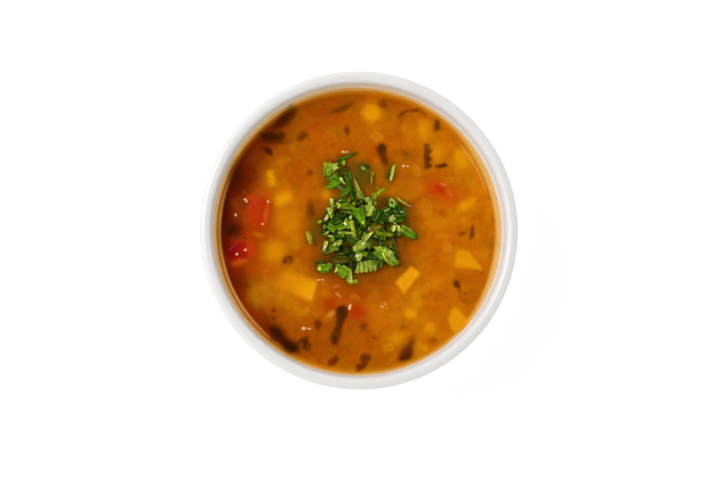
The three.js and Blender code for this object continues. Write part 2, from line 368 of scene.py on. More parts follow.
def spun(profile, steps, name):
    """A profile of (distance from the axis, height) from one point on the axis to another, spun round it."""
    bm = bmesh.new()
    line = [bm.verts.new((r, 0.0, z)) for r, z in profile]
    edges = [bm.edges.new(pair) for pair in zip(line, line[1:])]
    turn = {"cent": (0, 0, 0), "axis": (0, 0, 1), "angle": 2 * math.pi}
    bmesh.ops.spin(bm, geom=line + edges, steps=steps, use_merge=True, **turn)
    bmesh.ops.remove_doubles(bm, verts=bm.verts, dist=0.001 * MM)
    bmesh.ops.recalc_face_normals(bm, faces=bm.faces)
    return mesh_of(bm, name)


def arc(centre, radius, start, end, steps):
    """Points on an arc in a profile, from one angle to another, in degrees."""
    angles = (math.radians(start + (end - start) * i / steps) for i in range(steps + 1))
    return [(centre[0] + radius * math.cos(a), centre[1] + radius * math.sin(a)) for a in angles]


BOWL_STEPS = 192
SIDE_STEPS = 48
FOOT_EDGE = 0.8 * MM
FOOT_CORNER = 1.5 * MM


def bowl_profile():
    half = LIP_THICKNESS / 2
    foot_inner = FOOT_RADIUS - FOOT_WIDTH
    top_z = side_height(RIM_RADIUS, UNDERSIDE_Z, FOOT_TOP_RADIUS + FOOT_CORNER)
    foot = [(0.0, UNDERSIDE_Z)]
    foot += arc((foot_inner - FOOT_EDGE, UNDERSIDE_Z - FOOT_EDGE), FOOT_EDGE, 90, 0, 4)
    foot += arc((foot_inner + FOOT_EDGE, FOOT_EDGE), FOOT_EDGE, 180, 270, 4)
    foot += arc((FOOT_RADIUS - FOOT_EDGE, FOOT_EDGE), FOOT_EDGE, 270, 350, 4)
    foot += [(FOOT_TOP_RADIUS - 0.3 * MM, top_z - 1.9 * MM), (FOOT_TOP_RADIUS + 0.1 * MM, top_z - 0.9 * MM)]
    outside = [side_point(RIM_RADIUS, UNDERSIDE_Z, i / SIDE_STEPS) for i in range(SIDE_STEPS)]
    outside = [p for p in outside if p[0] > FOOT_TOP_RADIUS + FOOT_CORNER]
    lip = arc((RIM_RADIUS - half, LIP_Z), half, 0, 180, 16)
    inside = [side_point(INNER_RADIUS, FLOOR_Z, i / SIDE_STEPS) for i in range(SIDE_STEPS)]
    return foot + outside + lip + inside[::-1]


# The dal, seen from above as a grid of cells: its colour, painted shade, light and reflections included, and
# how far it stands over its level.

CELL = 0.3 * MM
MAP_HALF = 65 * MM
MAP_CELLS = round(2 * MAP_HALF / CELL)
MENISCUS_HEIGHT = 1.1 * MM
MENISCUS_WIDTH = 1.7 * MM
CONTACT_RADIUS = side_radius(INNER_RADIUS, FLOOR_Z, LEVEL + MENISCUS_HEIGHT)


def blurred(field, sigma, cell=CELL):
    """A Gaussian blur by sigma, in metres."""
    rows, columns = field.shape
    across = np.fft.rfftfreq(columns)[None, :]
    along = np.fft.fftfreq(rows)[:, None]
    fade = np.exp(-2 * (math.pi * sigma / cell) ** 2 * (across**2 + along**2))
    return np.fft.irfft2(np.fft.rfft2(field) * fade, s=field.shape)


def smooth_step(values):
    values = np.clip(values, 0.0, 1.0)
    return values * values * (3 - 2 * values)


# From what height rays go down onto the pieces.
RAY_START = LEVEL + 30 * MM


def top_of(mesh, x, y, missing):
    """How high a mesh's top stands at many points, looked at from above."""
    tree = BVHTree.FromPolygons([v.co for v in mesh.vertices], [tuple(p.vertices) for p in mesh.polygons])
    top = np.full(x.shape, missing)
    for place, at in np.ndenumerate(x):
        hit = tree.ray_cast(Vector((at, y[place], RAY_START)), Vector((0, 0, -1)))[0]
        if hit:
            top[place] = hit.z
    return top


class DalMap:
    """The dal as it is painted, layer over layer."""

    def __init__(self):
        line = (np.arange(MAP_CELLS) + 0.5) * CELL - MAP_HALF
        self.x, self.y = np.meshgrid(line, line)
        self.edge = CONTACT_RADIUS - np.hypot(self.x, self.y)
        self.height = np.zeros((MAP_CELLS, MAP_CELLS))
        self.colour = np.zeros((MAP_CELLS, MAP_CELLS, 3))

    def cloud(self, chance, size):
        """Random lumps of about that size, as many above 0 as below."""
        lumps = blurred(chance.normal(size=self.x.shape), size / 2)
        return lumps / lumps.std()

    def wash(self, colour, share):
        """Mixes a colour in, by a share for each cell."""
        self.colour += np.clip(share, 0, 1)[..., None] * (np.array(colour) - self.colour)

    def patch(self, x, y, length, width, turn, soft):
        """1 in an oval that fades out at its edge, 0 elsewhere. Lengths are in millimetres."""
        c, s = math.cos(math.radians(turn)), math.sin(math.radians(turn))
        right, up = self.x - x * MM, self.y - y * MM
        along = (right * c + up * s) / (length * MM / 2)
        across = (up * c - right * s) / (width * MM / 2)
        return smooth_step((1 + soft - np.hypot(along, across)) / (2 * soft))

    def near_wall(self, start, fade):
        """0 farther than start from the wall, rising to 1 over fade towards it, both in millimetres."""
        return smooth_step((start * MM - self.edge) / (fade * MM))

    def facing(self, side, wide):
        """1 towards one side of the bowl, in degrees from +X, falling to 0 at wide degrees to both sides."""
        turn = np.degrees(np.arctan2(self.y, self.x)) - side
        return smooth_step(1.4 - 1.4 * np.abs((turn + 180) % 360 - 180) / wide)

    def sink(self, mesh, colour, clear_depth, swell, haze):
        """Paints a piece as it shows through the dal: fainter and softer the deeper its top lies."""
        corners = np.array([v.co for v in mesh.vertices])
        margin = 4 * MM
        low = ((corners.min(0)[:2] - margin + MAP_HALF) / CELL).astype(int).clip(0, MAP_CELLS)
        high = ((corners.max(0)[:2] + margin + MAP_HALF) / CELL).astype(int).clip(0, MAP_CELLS)
        window = (slice(low[1], high[1]), slice(low[0], high[0]))
        top = top_of(mesh, self.x[window], self.y[window], np.nan)
        inside = np.isfinite(top).astype(float)
        if not inside.any():
            return
        depth = np.where(inside > 0, np.maximum(LEVEL - top, 0.0), 0.0)
        near = blurred(inside, 1.5 * MM)
        spread_depth = blurred(depth * inside, 1.5 * MM) / np.maximum(near, 0.02)
        faint = inside * np.exp(-depth / clear_depth)
        soft = np.clip(spread_depth / (1.4 * MM), 0, 1)
        share = (1 - soft) * blurred(faint, haze) + soft * blurred(faint, haze + 0.8 * MM)
        share = np.clip(share, 0, 1)[..., None]
        self.colour[window] += share * (np.array(colour) - self.colour[window])
        wet = inside * np.exp(-depth / (0.5 * MM))
        self.height[window] += swell * blurred(wet, 0.6 * MM)

    def sample(self, field, x, y):
        """A field's values at many points, between the cells' centres."""
        column = np.clip((x + MAP_HALF) / CELL - 0.5, 0, MAP_CELLS - 1.001)
        row = np.clip((y + MAP_HALF) / CELL - 0.5, 0, MAP_CELLS - 1.001)
        i, j = row.astype(int), column.astype(int)
        v, u = row - i, column - j
        if field.ndim == 3:
            u, v = u[:, None], v[:, None]
        near = field[i, j] * (1 - u) + field[i, j + 1] * u
        far = field[i + 1, j] * (1 - u) + field[i + 1, j + 1] * u
        return near * (1 - v) + far * v

    def soak(self, mesh):
        """Gives a mesh the colours of the dal where it lies, painted shade included."""
        places = np.array([v.co for v in mesh.vertices])
        colour = np.ones((len(places), 4))
        colour[:, :3] = self.sample(self.colour, places[:, 0], places[:, 1])
        layer = mesh.color_attributes.new("dal_colour_with_painted_shade", "FLOAT_COLOR", "POINT")
        layer.data.foreach_set("color", colour.astype(np.float32).ravel())


# The broth's tints, some of them partly painted shadow, each with the patches where it shows: middle,
# length, width, turn and strength.
BROTH = seen(186, 93, 2)
TINTS = {
    "bright": seen(204, 108, 3),
    # shadow, brown, brick and clear darken the left of the dal as the rim's painted shadow, partly also as
    # the broth's own darker colour there.
    "shadow": seen(112, 34, 2),
    "clear": seen(74, 16, 1),
    "brown": seen(138, 38, 2),
    "brick": seen(116, 26, 1),
    "amber": seen(214, 130, 4),
    "rust": seen(152, 62, 2),
    "red": seen(170, 44, 3),
    "olive": seen(92, 62, 4),
    "film": seen(206, 126, 2),
    "film_in_painted_shade": seen(188, 98, 2),
    "left_film_painted_lighter": seen(255, 200, 116),
    "thin_film": seen(232, 180, 96),
    "glint": seen(255, 184, 96),
}
PATCHES = {
    "rust": [
        (-20, 53, 44, 14, 22, 0.5), (6, 57, 52, 9, -5, 0.35), (-30, 26, 12, 14, 0, 0.3),
        (-47, -40, 12, 18, 35, 0.3), (-30, -47, 26, 16, -35, 0.45), (-13, -45, 10, 12, 0, 0.3),
        (0, -21, 46, 12, 0, 0.3), (24, 2, 12, 22, 0, 0.25), (21, 12, 9, 9, 0, 0.5),
        (52, -24, 12, 26, 20, 0.25), (-14, -50, 20, 14, 0, 0.25), (2, -48, 16, 18, 0, 0.15),
        (14, 56, 10, 10, 0, 0.3), (-22, -12, 16, 8, 0, 0.3), (8, -26, 22, 10, 0, 0.5),
        (-13, -26, 8, 7, 0, 0.4), (2, -58, 30, 10, 0, 0.1),
    ],
    "amber": [
        (-29, 4, 18, 22, 10, 0.3), (-27, -26, 34, 20, -20, 0.2), (-36, -10, 14, 14, 0, 0.2),
        (9, 52, 12, 11, 0, 0.3), (47, 31, 12, 18, 0, 0.4), (30, 44, 12, 16, 0, 0.3),
        (19, -27, 10, 8, 0, 0.3), (18, -46, 16, 14, 0, 0.4), (31, -38, 18, 16, 0, 0.2),
        (36, 4, 12, 14, 0, 0.3), (50, 14, 16, 10, 35, 0.35), (53, 26, 12, 14, 20, 0.85),
        (12, -38, 16, 14, 0, 0.3), (34, -53, 16, 8, 20, 0.15), (-33, 16, 14, 12, 0, 0.3),
        (-24, 40, 12, 6, 0, 0.15), (49, -42, 8, 16, -40, 0.3), (-38, -26, 9, 8, 0, 0.4),
        (26, -52, 8, 6, 0, 0.5), (26.3, -29, 10, 4, 75, 0.5), (-43.6, -2, 5, 3, -20, 0.35),
        (-26, -30, 20, 10, -20, 0.3),
    ],
    # Olive round the heap and the leaves: partly leaf juice and sunk leaf, partly their painted shadow on
    # the dal.
    "olive": [
        (-43, -29, 12, 11, 20, 0.2), (24, 34, 14, 5, -8, 0.25), (-26, 39, 9, 9, 0, 0.2),
        (2.5, 23, 15, 9, 85, 0.8), (11, 10, 11, 8, 0, 0.7), (12.5, 13, 7, 6, 0, 0.95),
        (-13, 20, 8, 6, 0, 0.6), (16, -6, 12, 8, -10, 0.6), (-11, -13, 16, 9, 10, 0.85),
        (0, 26, 7, 8, 0, 0.6), (0, -20, 24, 7, 0, 0.3), (19, -13, 10, 14, 40, 0.5),
        (-18, 1, 9, 16, 0, 0.75), (-7, 25, 11, 16, -20, 0.8), (20, 5, 12, 16, 0, 0.6),
        (-13, -19, 9, 6, 0, 0.3), (13.5, 26, 8, 10, 0, 0.5), (22, 24, 10, 16, 0, 0.2),
    ],
    "red": [(-51, -20, 9, 8, 0, 0.5)],
    # Dark, clear broth; the patches near the left wall are partly the rim's painted shadow.
    "clear": [
        (-35.5, -46, 19, 6.5, -48, 0.85), (-31, -51, 9, 6, -20, 0.7), (-33, 50.6, 12, 6, 50, 0.8),
        (-51, 20, 12, 16, -20, 0.6), (-55, 0, 7, 8, 0, 0.7), (-59, -7, 5, 8, 0, 0.6),
    ],
}

# The rim's painted shadow on the left of the dal, partly also the broth's own darker colour there, as tints
# along the wall: strength, side, how wide, where they start and over what they fade.
RIM_SHADOW_TINTS = [
    ("shadow", 0.8, 174, 70, 20, 14), ("brown", 0.75, 200, 60, 12, 9), ("clear", 0.97, 176, 42, 13.5, 8),
    ("brick", 0.75, 146, 28, 15, 8),
]


def broth_ground(dal):
    """The broth's colours before anything lies in it: its own, with painted light towards +X and the rim's
    painted shadow along the left wall.
    """
    dal.colour[:] = BROTH
    # Lighter towards +X: partly the broth's own colour, partly painted light.
    dal.wash(TINTS["bright"], smooth_step((dal.x + 10 * MM) / (70 * MM)))
    for tint, patches in PATCHES.items():
        for x, y, length, width, turn, strength in patches:
            dal.wash(TINTS[tint], strength * dal.patch(x, y, length, width, turn, 0.8))
    # Paints the rim's shadow along the left wall.
    for tint, strength, side, wide, start, fade in RIM_SHADOW_TINTS:
        dal.wash(TINTS[tint], strength * dal.facing(side, wide) * dal.near_wall(start, fade))
    chance = np.random.default_rng(7)
    lumps = dal.cloud(chance, 3.0 * MM) + 0.8 * dal.cloud(chance, 1.1 * MM)
    hue = dal.cloud(chance, 5.0 * MM) + 0.8 * dal.cloud(chance, 1.5 * MM)
    dal.colour *= np.exp(0.045 * lumps)[..., None]
    dal.colour[..., 1] *= np.exp(0.065 * hue)


def dal_rim(dal):
    """Towards the wall the dal thins out over the white glaze and creeps up it. It does so furthest on the
    right, where it looks pale. On the left the dal behind it is dark with the rim's painted shadow, the film
    is painted darker as in that shade and paler at the wall to make up for it, and a painted reflection
    shines along the film's edge; another painted reflection line runs near the edge at the upper right."""
    right, left = dal.facing(5, 60), dal.facing(192, 62)
    dal.wash(TINTS["film"], 0.9 * dal.near_wall(3.4, 2.0) * (1 - 0.9 * left))
    # On the left the film is painted darker, as shade from the rim.
    dal.wash(TINTS["film_in_painted_shade"], 0.95 * left * dal.near_wall(3.2, 0.7))
    dal.wash(TINTS["thin_film"], 0.9 * right * dal.near_wall(1.2 + 1.55 * right, 0.8))
    dal.wash(TINTS["thin_film"], 0.9 * dal.near_wall(1.3, 0.9))
    # On the left the film at the wall is painted paler, to make up for the rim's shade.
    dal.wash(TINTS["left_film_painted_lighter"], 0.9 * dal.facing(168, 90) * dal.near_wall(1.6, 0.8))
    # Painted reflections: a line along the film's edge on the left, and another near the edge at the upper
    # right.
    shine = np.exp(-(((dal.edge - 2.6 * MM) / (0.45 * MM)) ** 2))
    dal.wash(TINTS["glint"], 0.95 * dal.facing(194, 46) * shine)
    line = np.exp(-(((dal.edge - 3.7 * MM) / (0.35 * MM)) ** 2))
    dal.wash(TINTS["glint"], 0.55 * dal.facing(28, 16) * line)
    dal.height += MENISCUS_HEIGHT * np.exp(-np.maximum(dal.edge, 0) / MENISCUS_WIDTH)


DAL_GRID_STEPS = 280
DAL_SIDE_STEPS = 8
INTO_WALL = 0.15 * MM
SIDE_TOP = LEVEL - 0.5 * MM
SIDE_BOTTOM = FLOOR_Z + 0.4 * MM


def round_from_square(x, y):
    """Maps the square from -1 to 1 onto the disc of radius 1, squares about the middle onto rings."""
    steep = np.abs(y) > np.abs(x)
    reach = np.where(steep, y, x)
    slant = np.where(steep, x, y) / np.where(reach == 0, 1, reach) * math.pi / 4
    near, far = reach * np.cos(slant), reach * np.sin(slant)
    return np.where(steep, far, near), np.where(steep, near, far)


def dal_mesh(dal):
    """The dal's surface as a fine disc, with its side down the bowl's wall, closed at the floor."""
    bm = bmesh.new()
    bmesh.ops.create_grid(bm, x_segments=DAL_GRID_STEPS, y_segments=DAL_GRID_STEPS, size=1.0)
    flat = np.array([v.co for v in bm.verts])
    x, y = round_from_square(flat[:, 0], flat[:, 1])
    x, y = x * (CONTACT_RADIUS + INTO_WALL), y * (CONTACT_RADIUS + INTO_WALL)
    z = LEVEL + dal.sample(dal.height, x, y)
    for vert, place in zip(bm.verts, zip(x, y, z)):
        vert.co = place
    bm.normal_update()
    if next(iter(bm.faces)).normal.z < 0:
        bmesh.ops.reverse_faces(bm, faces=bm.faces)
    edge = [e for e in bm.edges if e.is_boundary]
    for i in range(DAL_SIDE_STEPS):
        grown = bmesh.ops.extrude_edge_only(bm, edges=edge)["geom"]
        edge = [g for g in grown if isinstance(g, bmesh.types.BMEdge)]
        z = SIDE_TOP - (SIDE_TOP - SIDE_BOTTOM) * ((i + 1) / DAL_SIDE_STEPS) ** 1.3
        radius = side_radius(INNER_RADIUS, FLOOR_Z, z) + INTO_WALL
        for vert in (g for g in grown if isinstance(g, bmesh.types.BMVert)):
            away = Vector((vert.co.x, vert.co.y, 0)).normalized()
            vert.co = away * radius + Vector((0, 0, z))
    bmesh.ops.contextual_create(bm, geom=edge)
    bmesh.ops.recalc_face_normals(bm, faces=bm.faces)
    mesh = mesh_of(bm, "dal")
    dal.soak(mesh)
    return mesh


# Food pieces


def block(outline, top, depth, lean):
    """An upright block under an outline. Its top leans about the outline's middle."""
    middle = Vector(np.mean(outline, axis=0))
    bm = bmesh.new()
    face = bm.faces.new([bm.verts.new((x, y, top - depth)) for x, y in outline])
    grown = bmesh.ops.extrude_face_region(bm, geom=[face])["geom"]
    for vert in (g for g in grown if isinstance(g, bmesh.types.BMVert)):
        vert.co.z = top + lean[0] * (vert.co.x - middle.x) + lean[1] * (vert.co.y - middle.y)
    bmesh.ops.recalc_face_normals(bm, faces=bm.faces)
    return bm


def smooth(bm, rounds):
    """Rounds a body off."""
    axes = {"use_axis_x": True, "use_axis_y": True, "use_axis_z": True}
    for _ in range(rounds):
        bmesh.ops.smooth_vert(bm, verts=bm.verts, factor=0.5, **axes)


def softened(bm, voxel, rounds, lumps, lump_size, seed):
    """Turns a block into a lumpy soft piece: evenly divided, its edges rounded off, its faces uneven.
    Lengths are in millimetres."""
    rough = placed("rough", mesh_of(bm, "rough"))
    remesh = rough.modifiers.new("even", "REMESH")
    remesh.mode = "VOXEL"
    remesh.voxel_size = voxel * MM
    even = bpy.data.meshes.new_from_object(rough.evaluated_get(bpy.context.evaluated_depsgraph_get()))
    bpy.data.objects.remove(rough)
    bm = bmesh.new()
    bm.from_mesh(even)
    bpy.data.meshes.remove(even)
    smooth(bm, rounds)
    bm.normal_update()
    shift = Vector((seed * 7.3, seed * 3.1, seed * 5.7))
    lumps, lump_size = lumps * MM, lump_size * MM
    moves = [v.normal * lumps * noise.fractal(v.co / lump_size + shift, 0.7, 2.0, 3) for v in bm.verts]
    for vert, move in zip(bm.verts, moves):
        vert.co += move
    return bm


def laid(dal, outline, top, thick, form, colour, paint, lean=(0, 0)):
    """A soft piece of food, painted into the dal. Lengths but the outline's are in millimetres, and the
    top's height is from the dal's level. Form is what softened takes after the block, and paint is what
    sink takes after the colour."""
    mesh = mesh_of(softened(block(outline, LEVEL + top * MM, thick * MM, lean), *form), "food")
    dal.sink(mesh, colour, *(size * MM for size in paint))
    return mesh


def millimetres(points):
    return [(x * MM, y * MM) for x, y in points]


# The dice, in the order of their numbers: their corners in millimetres from the bowl's axis, how far their
# tops stand over the dal's level, their tops' rise along X and Y, and how much the dal blurs their edges.
DICE = [
    ([(-35.8, -25), (-20.2, -31.2), (-18, -22.4), (-33, -17.2)], -0.6, 0.08, -0.06, 0.65),
    ([(16.4, -22.7), (20.6, -27.6), (27.7, -18.6), (23.7, -15.5)], 0.1, 0, 0, 0.4),
    ([(42.8, -15.7), (55.6, -17), (49.3, -8.6), (44.3, -8.1)], -0.3, 0.02, -0.02, 0.45),
    (
        [(40, -39), (42.2, -45.6), (45.4, -43.8), (48.2, -38.6), (43.4, -33.6), (41.4, -35)],
        -0.1, 0, 0.01, 0.5,
    ),
    ([(-37.4, 14.6), (-35.6, 10), (-28.6, 14), (-30.6, 17.6)], -0.2, 0, 0, 1),
    ([(-40.5, 26.3), (-39.4, 19.5), (-36.3, 19.8), (-37.7, 26.9)], -0.25, 0, 0.04, 0.55),
    ([(-41.4, -12.6), (-33.4, -13.2), (-32.6, -6), (-40.6, -5.4)], -0.9, 0.02, -0.06, 1.3),
    ([(20.9, -38.3), (25.6, -38.6), (26, -35), (21.6, -34.4)], -0.1, 0, 0, 0.8),
    ([(29.6, -45), (34, -45.4), (34.4, -40.8), (29.8, -40.4)], -0.3, 0, 0, 1),
    ([(26.6, -50.6), (30.6, -54.3), (31.6, -51.6), (27.6, -49.8)], -0.25, 0, 0, 0.7),
]

# The dice that lie under the surface: middle, length, width, turn and how deep their tops lie.
SUNK_DICE = [
    (6.2, 52.9, 8.6, 8.6, 12, 0.2), (29.8, 45.6, 4.6, 8.6, 5, 0.6), (46.2, 32.4, 6.4, 9.2, 12, 0.4),
    (35.4, 35.4, 5.6, 7, 0, 1), (48.4, 12.3, 8.4, 3, 33, 0.15), (-31.8, 4.6, 10, 10.5, 20, 1.6),
    (17.6, -47.8, 6.4, 5.6, 15, 1), (-13.8, 16.4, 2.8, 5, 20, 0.3), (34.8, -23, 5, 4, 30, 1.6),
    (-14.6, -28, 3.6, 2.6, 20, 0.8), (7.6, -27, 5, 3, -25, 1.2),
]


def oblong(x, y, length, width, turn, corners=4, chance=None, least=0.6):
    """An outline with a few corners round a middle, in metres. With chance, some corners are drawn in, to
    least of their distance or more."""
    c, s = math.cos(math.radians(turn)), math.sin(math.radians(turn))
    points = []
    for i in range(corners):
        a = 2 * math.pi * (i + 0.5) / corners
        reach = (chance.uniform(least, 1.2) if chance else 1.0) / math.cos(math.pi / corners)
        u, v = length / 2 * math.cos(a) * reach, width / 2 * math.sin(a) * reach
        points.append(((x + u * c - v * s) * MM, (y + u * s + v * c) * MM))
    return points


def ragged(outline, chance, rough):
    """An outline with more points along its sides, each out of line by up to rough."""
    points = []
    for near, far in zip(outline, outline[1:] + outline[:1]):
        for share in (0.0, 0.35, 0.7):
            point = (a + (b - a) * share + chance.uniform(-rough, rough) for a, b in zip(near, far))
            points.append(tuple(point))
    return points


POTATO = seen(240, 158, 6)


def make_dice(dal):
    finish = wet_food("boiled_potato", seen(240, 166, 20), 0.9 * MM, 0.04 * MM, roughness=0.35)
    chance = random.Random(4)
    sunk = []
    for i, (x, y, length, width, turn, depth) in enumerate(SUNK_DICE, 31):
        outline = oblong(x, y, length, width, turn, 5, chance, 0.85)
        sunk.append(laid(dal, outline, -depth, 4.5, (0.4, 6, 0.25, 2.5, i), POTATO, (1.8, 0.1, 0.9)))
    soaked = {"sunk_potato": (joined(sunk, "sunk_potato"), finish, "potato", [])}
    for i, (corners, proud, along_x, along_y, haze) in enumerate(DICE, 1):
        node, form, paint = f"potato_dice_{i}", (0.28, 5, 0.14, 2.2, i), (1.6, 0.12, haze)
        mesh = laid(dal, millimetres(corners), proud, 4.2, form, POTATO, paint, (along_x, along_y))
        soaked[node] = (mesh, finish, "potato", [node])
    return soaked


# The tomato pieces, in the order of their numbers: corners, how far their tops stand over the dal's level,
# blur and colour.
TOMATOES = [
    (
        [(-49.6, 15.2), (-48.4, 4), (-46, 1.9), (-41, 1.8), (-39.2, 12.6), (-41.2, 14), (-46.2, 16)],
        0.15, 0.3, seen(186, 54, 3),
    ),
    (
        [(-58, -8), (-57, -12), (-51, -12.6), (-46.2, -11.2), (-45.8, -6), (-52.4, -4.8)],
        0.15, 0.5, seen(166, 24, 4),
    ),
    (
        [(31, 21.6), (31.4, 16.8), (36.4, 14.6), (42.2, 13), (43, 17), (36.6, 22)],
        -0.1, 0.8, seen(200, 66, 6),
    ),
    ([(-15.6, -30.4), (-14, -35.8), (-9.4, -33.6), (-9.2, -28.8)], -0.15, 0.8, seen(184, 56, 3)),
    ([(-4.6, -33.2), (-3.6, -39.2), (1.2, -39), (4.6, -36), (1.6, -32.2)], -0.2, 0.9, seen(186, 50, 3)),
]
SUNK_TOMATOES = [
    (-41, -17, 8, 5, 30, 1.4, seen(186, 70, 4)),
    (-52, -14, 7, 2.6, 15, 0.2, seen(206, 88, 10)),
]

# Where the tomato has reddened the dal: middle and strength.
REDDENED = [(-43, 7, 0.75), (-51, -8, 0.75), (37, 18, 0.25), (-12, -32, 0.3), (0, -36, 0.3)]

# Finer marks on and beside the pieces: tint, middle, length, width, turn, softness and strength.
MARKS = [
    ((208, 78, 22), -40.6, 7.4, 11, 1.8, 82, 0.3, 0.8), ((196, 66, 12), -45.6, 14.6, 7, 2.6, 10, 0.4, 0.5),
    ((140, 6, 3), -55.4, -9.4, 6, 8, 0, 0.5, 0.8), ((206, 66, 8), -47.2, -8.6, 4.6, 6.6, 10, 0.6, 0.7),
    ((128, 52, 7), -51.6, 11.8, 7, 6.4, 30, 0.3, 0.7), ((124, 56, 8), -52.8, 5, 3.4, 6.2, 0, 0.5, 0.6),
    ((46, 16, 1), -55.4, 0, 8.6, 7.6, 30, 0.9, 0.85), ((150, 66, 3), 6.5, -26, 8, 5, 0, 0.9, 0.35),
    ((206, 114, 6), -41.6, -26.6, 8, 8, 0, 0.9, 0.4), ((98, 102, 12), 1.4, 26, 6.5, 8, 0, 0.9, 0.6),
    ((232, 142, 5), 25, -33, 8, 5, 35, 0.9, 0.35), ((130, 62, 3), -19, 13, 5, 5, 0, 0.9, 0.4),
    ((216, 116, 4), 6.5, 58, 9, 4, 0, 0.9, 0.35), ((92, 12, 2), -58.4, -6.6, 4, 8, 10, 0.8, 0.7),
    ((214, 118, 4), 6.5, -32.5, 8, 8, 0, 0.9, 0.35), ((216, 108, 4), 39, 13, 7, 7, 0, 0.9, 0.4),
    ((158, 66, 3), -32.5, 32.5, 8, 7, 0, 0.9, 0.4), ((110, 50, 3), -32.5, 39.6, 7, 3.6, 0, 0.9, 0.5),
    ((120, 44, 3), 20, -52, 6, 7, -30, 0.9, 0.4), ((166, 76, 3), 19.5, 19.5, 9, 8, 0, 0.9, 0.45),
    ((142, 62, 3), -45.5, 32.5, 7, 7, 0, 0.9, 0.4), ((178, 96, 3), -26, 45.5, 6, 6, 0, 0.9, 0.4),
    ((70, 30, 2), -24.8, -48.4, 6, 2, 35, 0.7, 0.7), ((140, 62, 2), -22, -51, 1.8, 2.6, 0, 0.8, 0.5),
    ((174, 54, 3), -13.4, -33.2, 7, 8, 0, 0.9, 0.45), ((60, 24, 2), -53.8, 24, 6, 12, 12, 0.9, 0.6),
    ((204, 108, 6), -43.8, -2, 4.6, 2.2, -15, 0.5, 0.5), ((206, 74, 6), 33, 20.6, 6, 4, 30, 0.8, 0.5),
    ((188, 48, 4), 36.4, 18.6, 5, 2.4, -35, 0.6, 0.7), ((206, 84, 10), 42.6, 14.4, 5, 3.4, -40, 0.8, 0.6),
    # On this line the second mark, of tint (240, 120, 60), is a painted glint on tomato piece 3.
    ((226, 102, 26), 40.6, 17.4, 4.4, 1.8, -50, 0.5, 0.7), ((240, 120, 60), 38, 21, 3.4, 1, -18, 0.4, 0.8),
    ((190, 54, 4), 34, 17.6, 2, 1.4, 0, 0.6, 0.6), ((232, 150, 5), 46, -41.6, 8, 4.2, 46, 0.35, 1),
    ((228, 160, 54), -12, -36.8, 3.6, 2.2, 40, 0.7, 0.5), ((96, 6, 2), -49.9, -3.4, 1.2, 1.2, 0, 0.5, 0.7),
    ((236, 172, 70), 41, -8, 3.4, 0.5, 70, 0.5, 0.4), ((226, 166, 70), -9.6, -24.5, 3.2, 0.5, 12, 0.5, 0.5),
    ((190, 136, 12), -45.2, -29.6, 2, 8.4, 8, 0.6, 0.25),
    ((184, 128, 12), -40.6, -27, 2.6, 7.6, 4, 0.6, 0.25),
    ((226, 166, 70), -8.7, -28.4, 3.4, 0.7, -38, 0.4, 0.7),
]


def make_tomatoes(dal):
    finish = wet_food("cooked_tomato", seen(200, 70, 10), 1.2 * MM, 0.08 * MM, roughness=0.18, coat=0.04)
    for x, y, strength in REDDENED:
        dal.wash(TINTS["red"], strength * dal.patch(x, y, 22, 20, 0, 0.7))
    sunk = []
    for i, (x, y, length, width, turn, depth, colour) in enumerate(SUNK_TOMATOES, 41):
        outline = oblong(x, y, length, width, turn, 7)
        sunk.append(laid(dal, outline, -depth, 3, (0.35, 6, 0.3, 2.5, i), colour, (1.2, 0.2, 0.5)))
    soaked = {"sunk_tomato": (joined(sunk, "sunk_tomato"), finish, "tomato", [])}
    for i, (corners, proud, haze, colour) in enumerate(TOMATOES, 1):
        node, form = f"tomato_piece_{i}", (0.28, 8, 0.25, 3.4, i + 10)
        mesh = laid(dal, millimetres(corners), proud, 3.8, form, colour, (1.2, 0.2, haze))
        soaked[node] = (mesh, finish, "tomato", [node])
    return soaked


def make_celery(dal):
    finish = wet_food("cooked_celery", seen(200, 140, 34), 0.8 * MM, 0.06 * MM)
    low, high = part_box("celery_slice")
    middle = (low + high) / 2
    turns = [math.radians(15 + 300 * i / 15) for i in range(16)]
    outer = [(middle.x + 5.2 * MM * math.cos(a), middle.y + 4.4 * MM * math.sin(a)) for a in turns]
    inner = [(middle.x + 2.0 * MM * math.cos(a), middle.y + 1.6 * MM * math.sin(a)) for a in turns[::-1]]
    form, paint = (0.25, 4, 0.15, 2, 21), (0.9, 0.1, 1.3)
    mesh = laid(dal, outer + inner, -0.5, 3.4, form, seen(204, 134, 8), paint)
    return {"celery_slice": (mesh, finish, "celery", ["celery_slice"])}


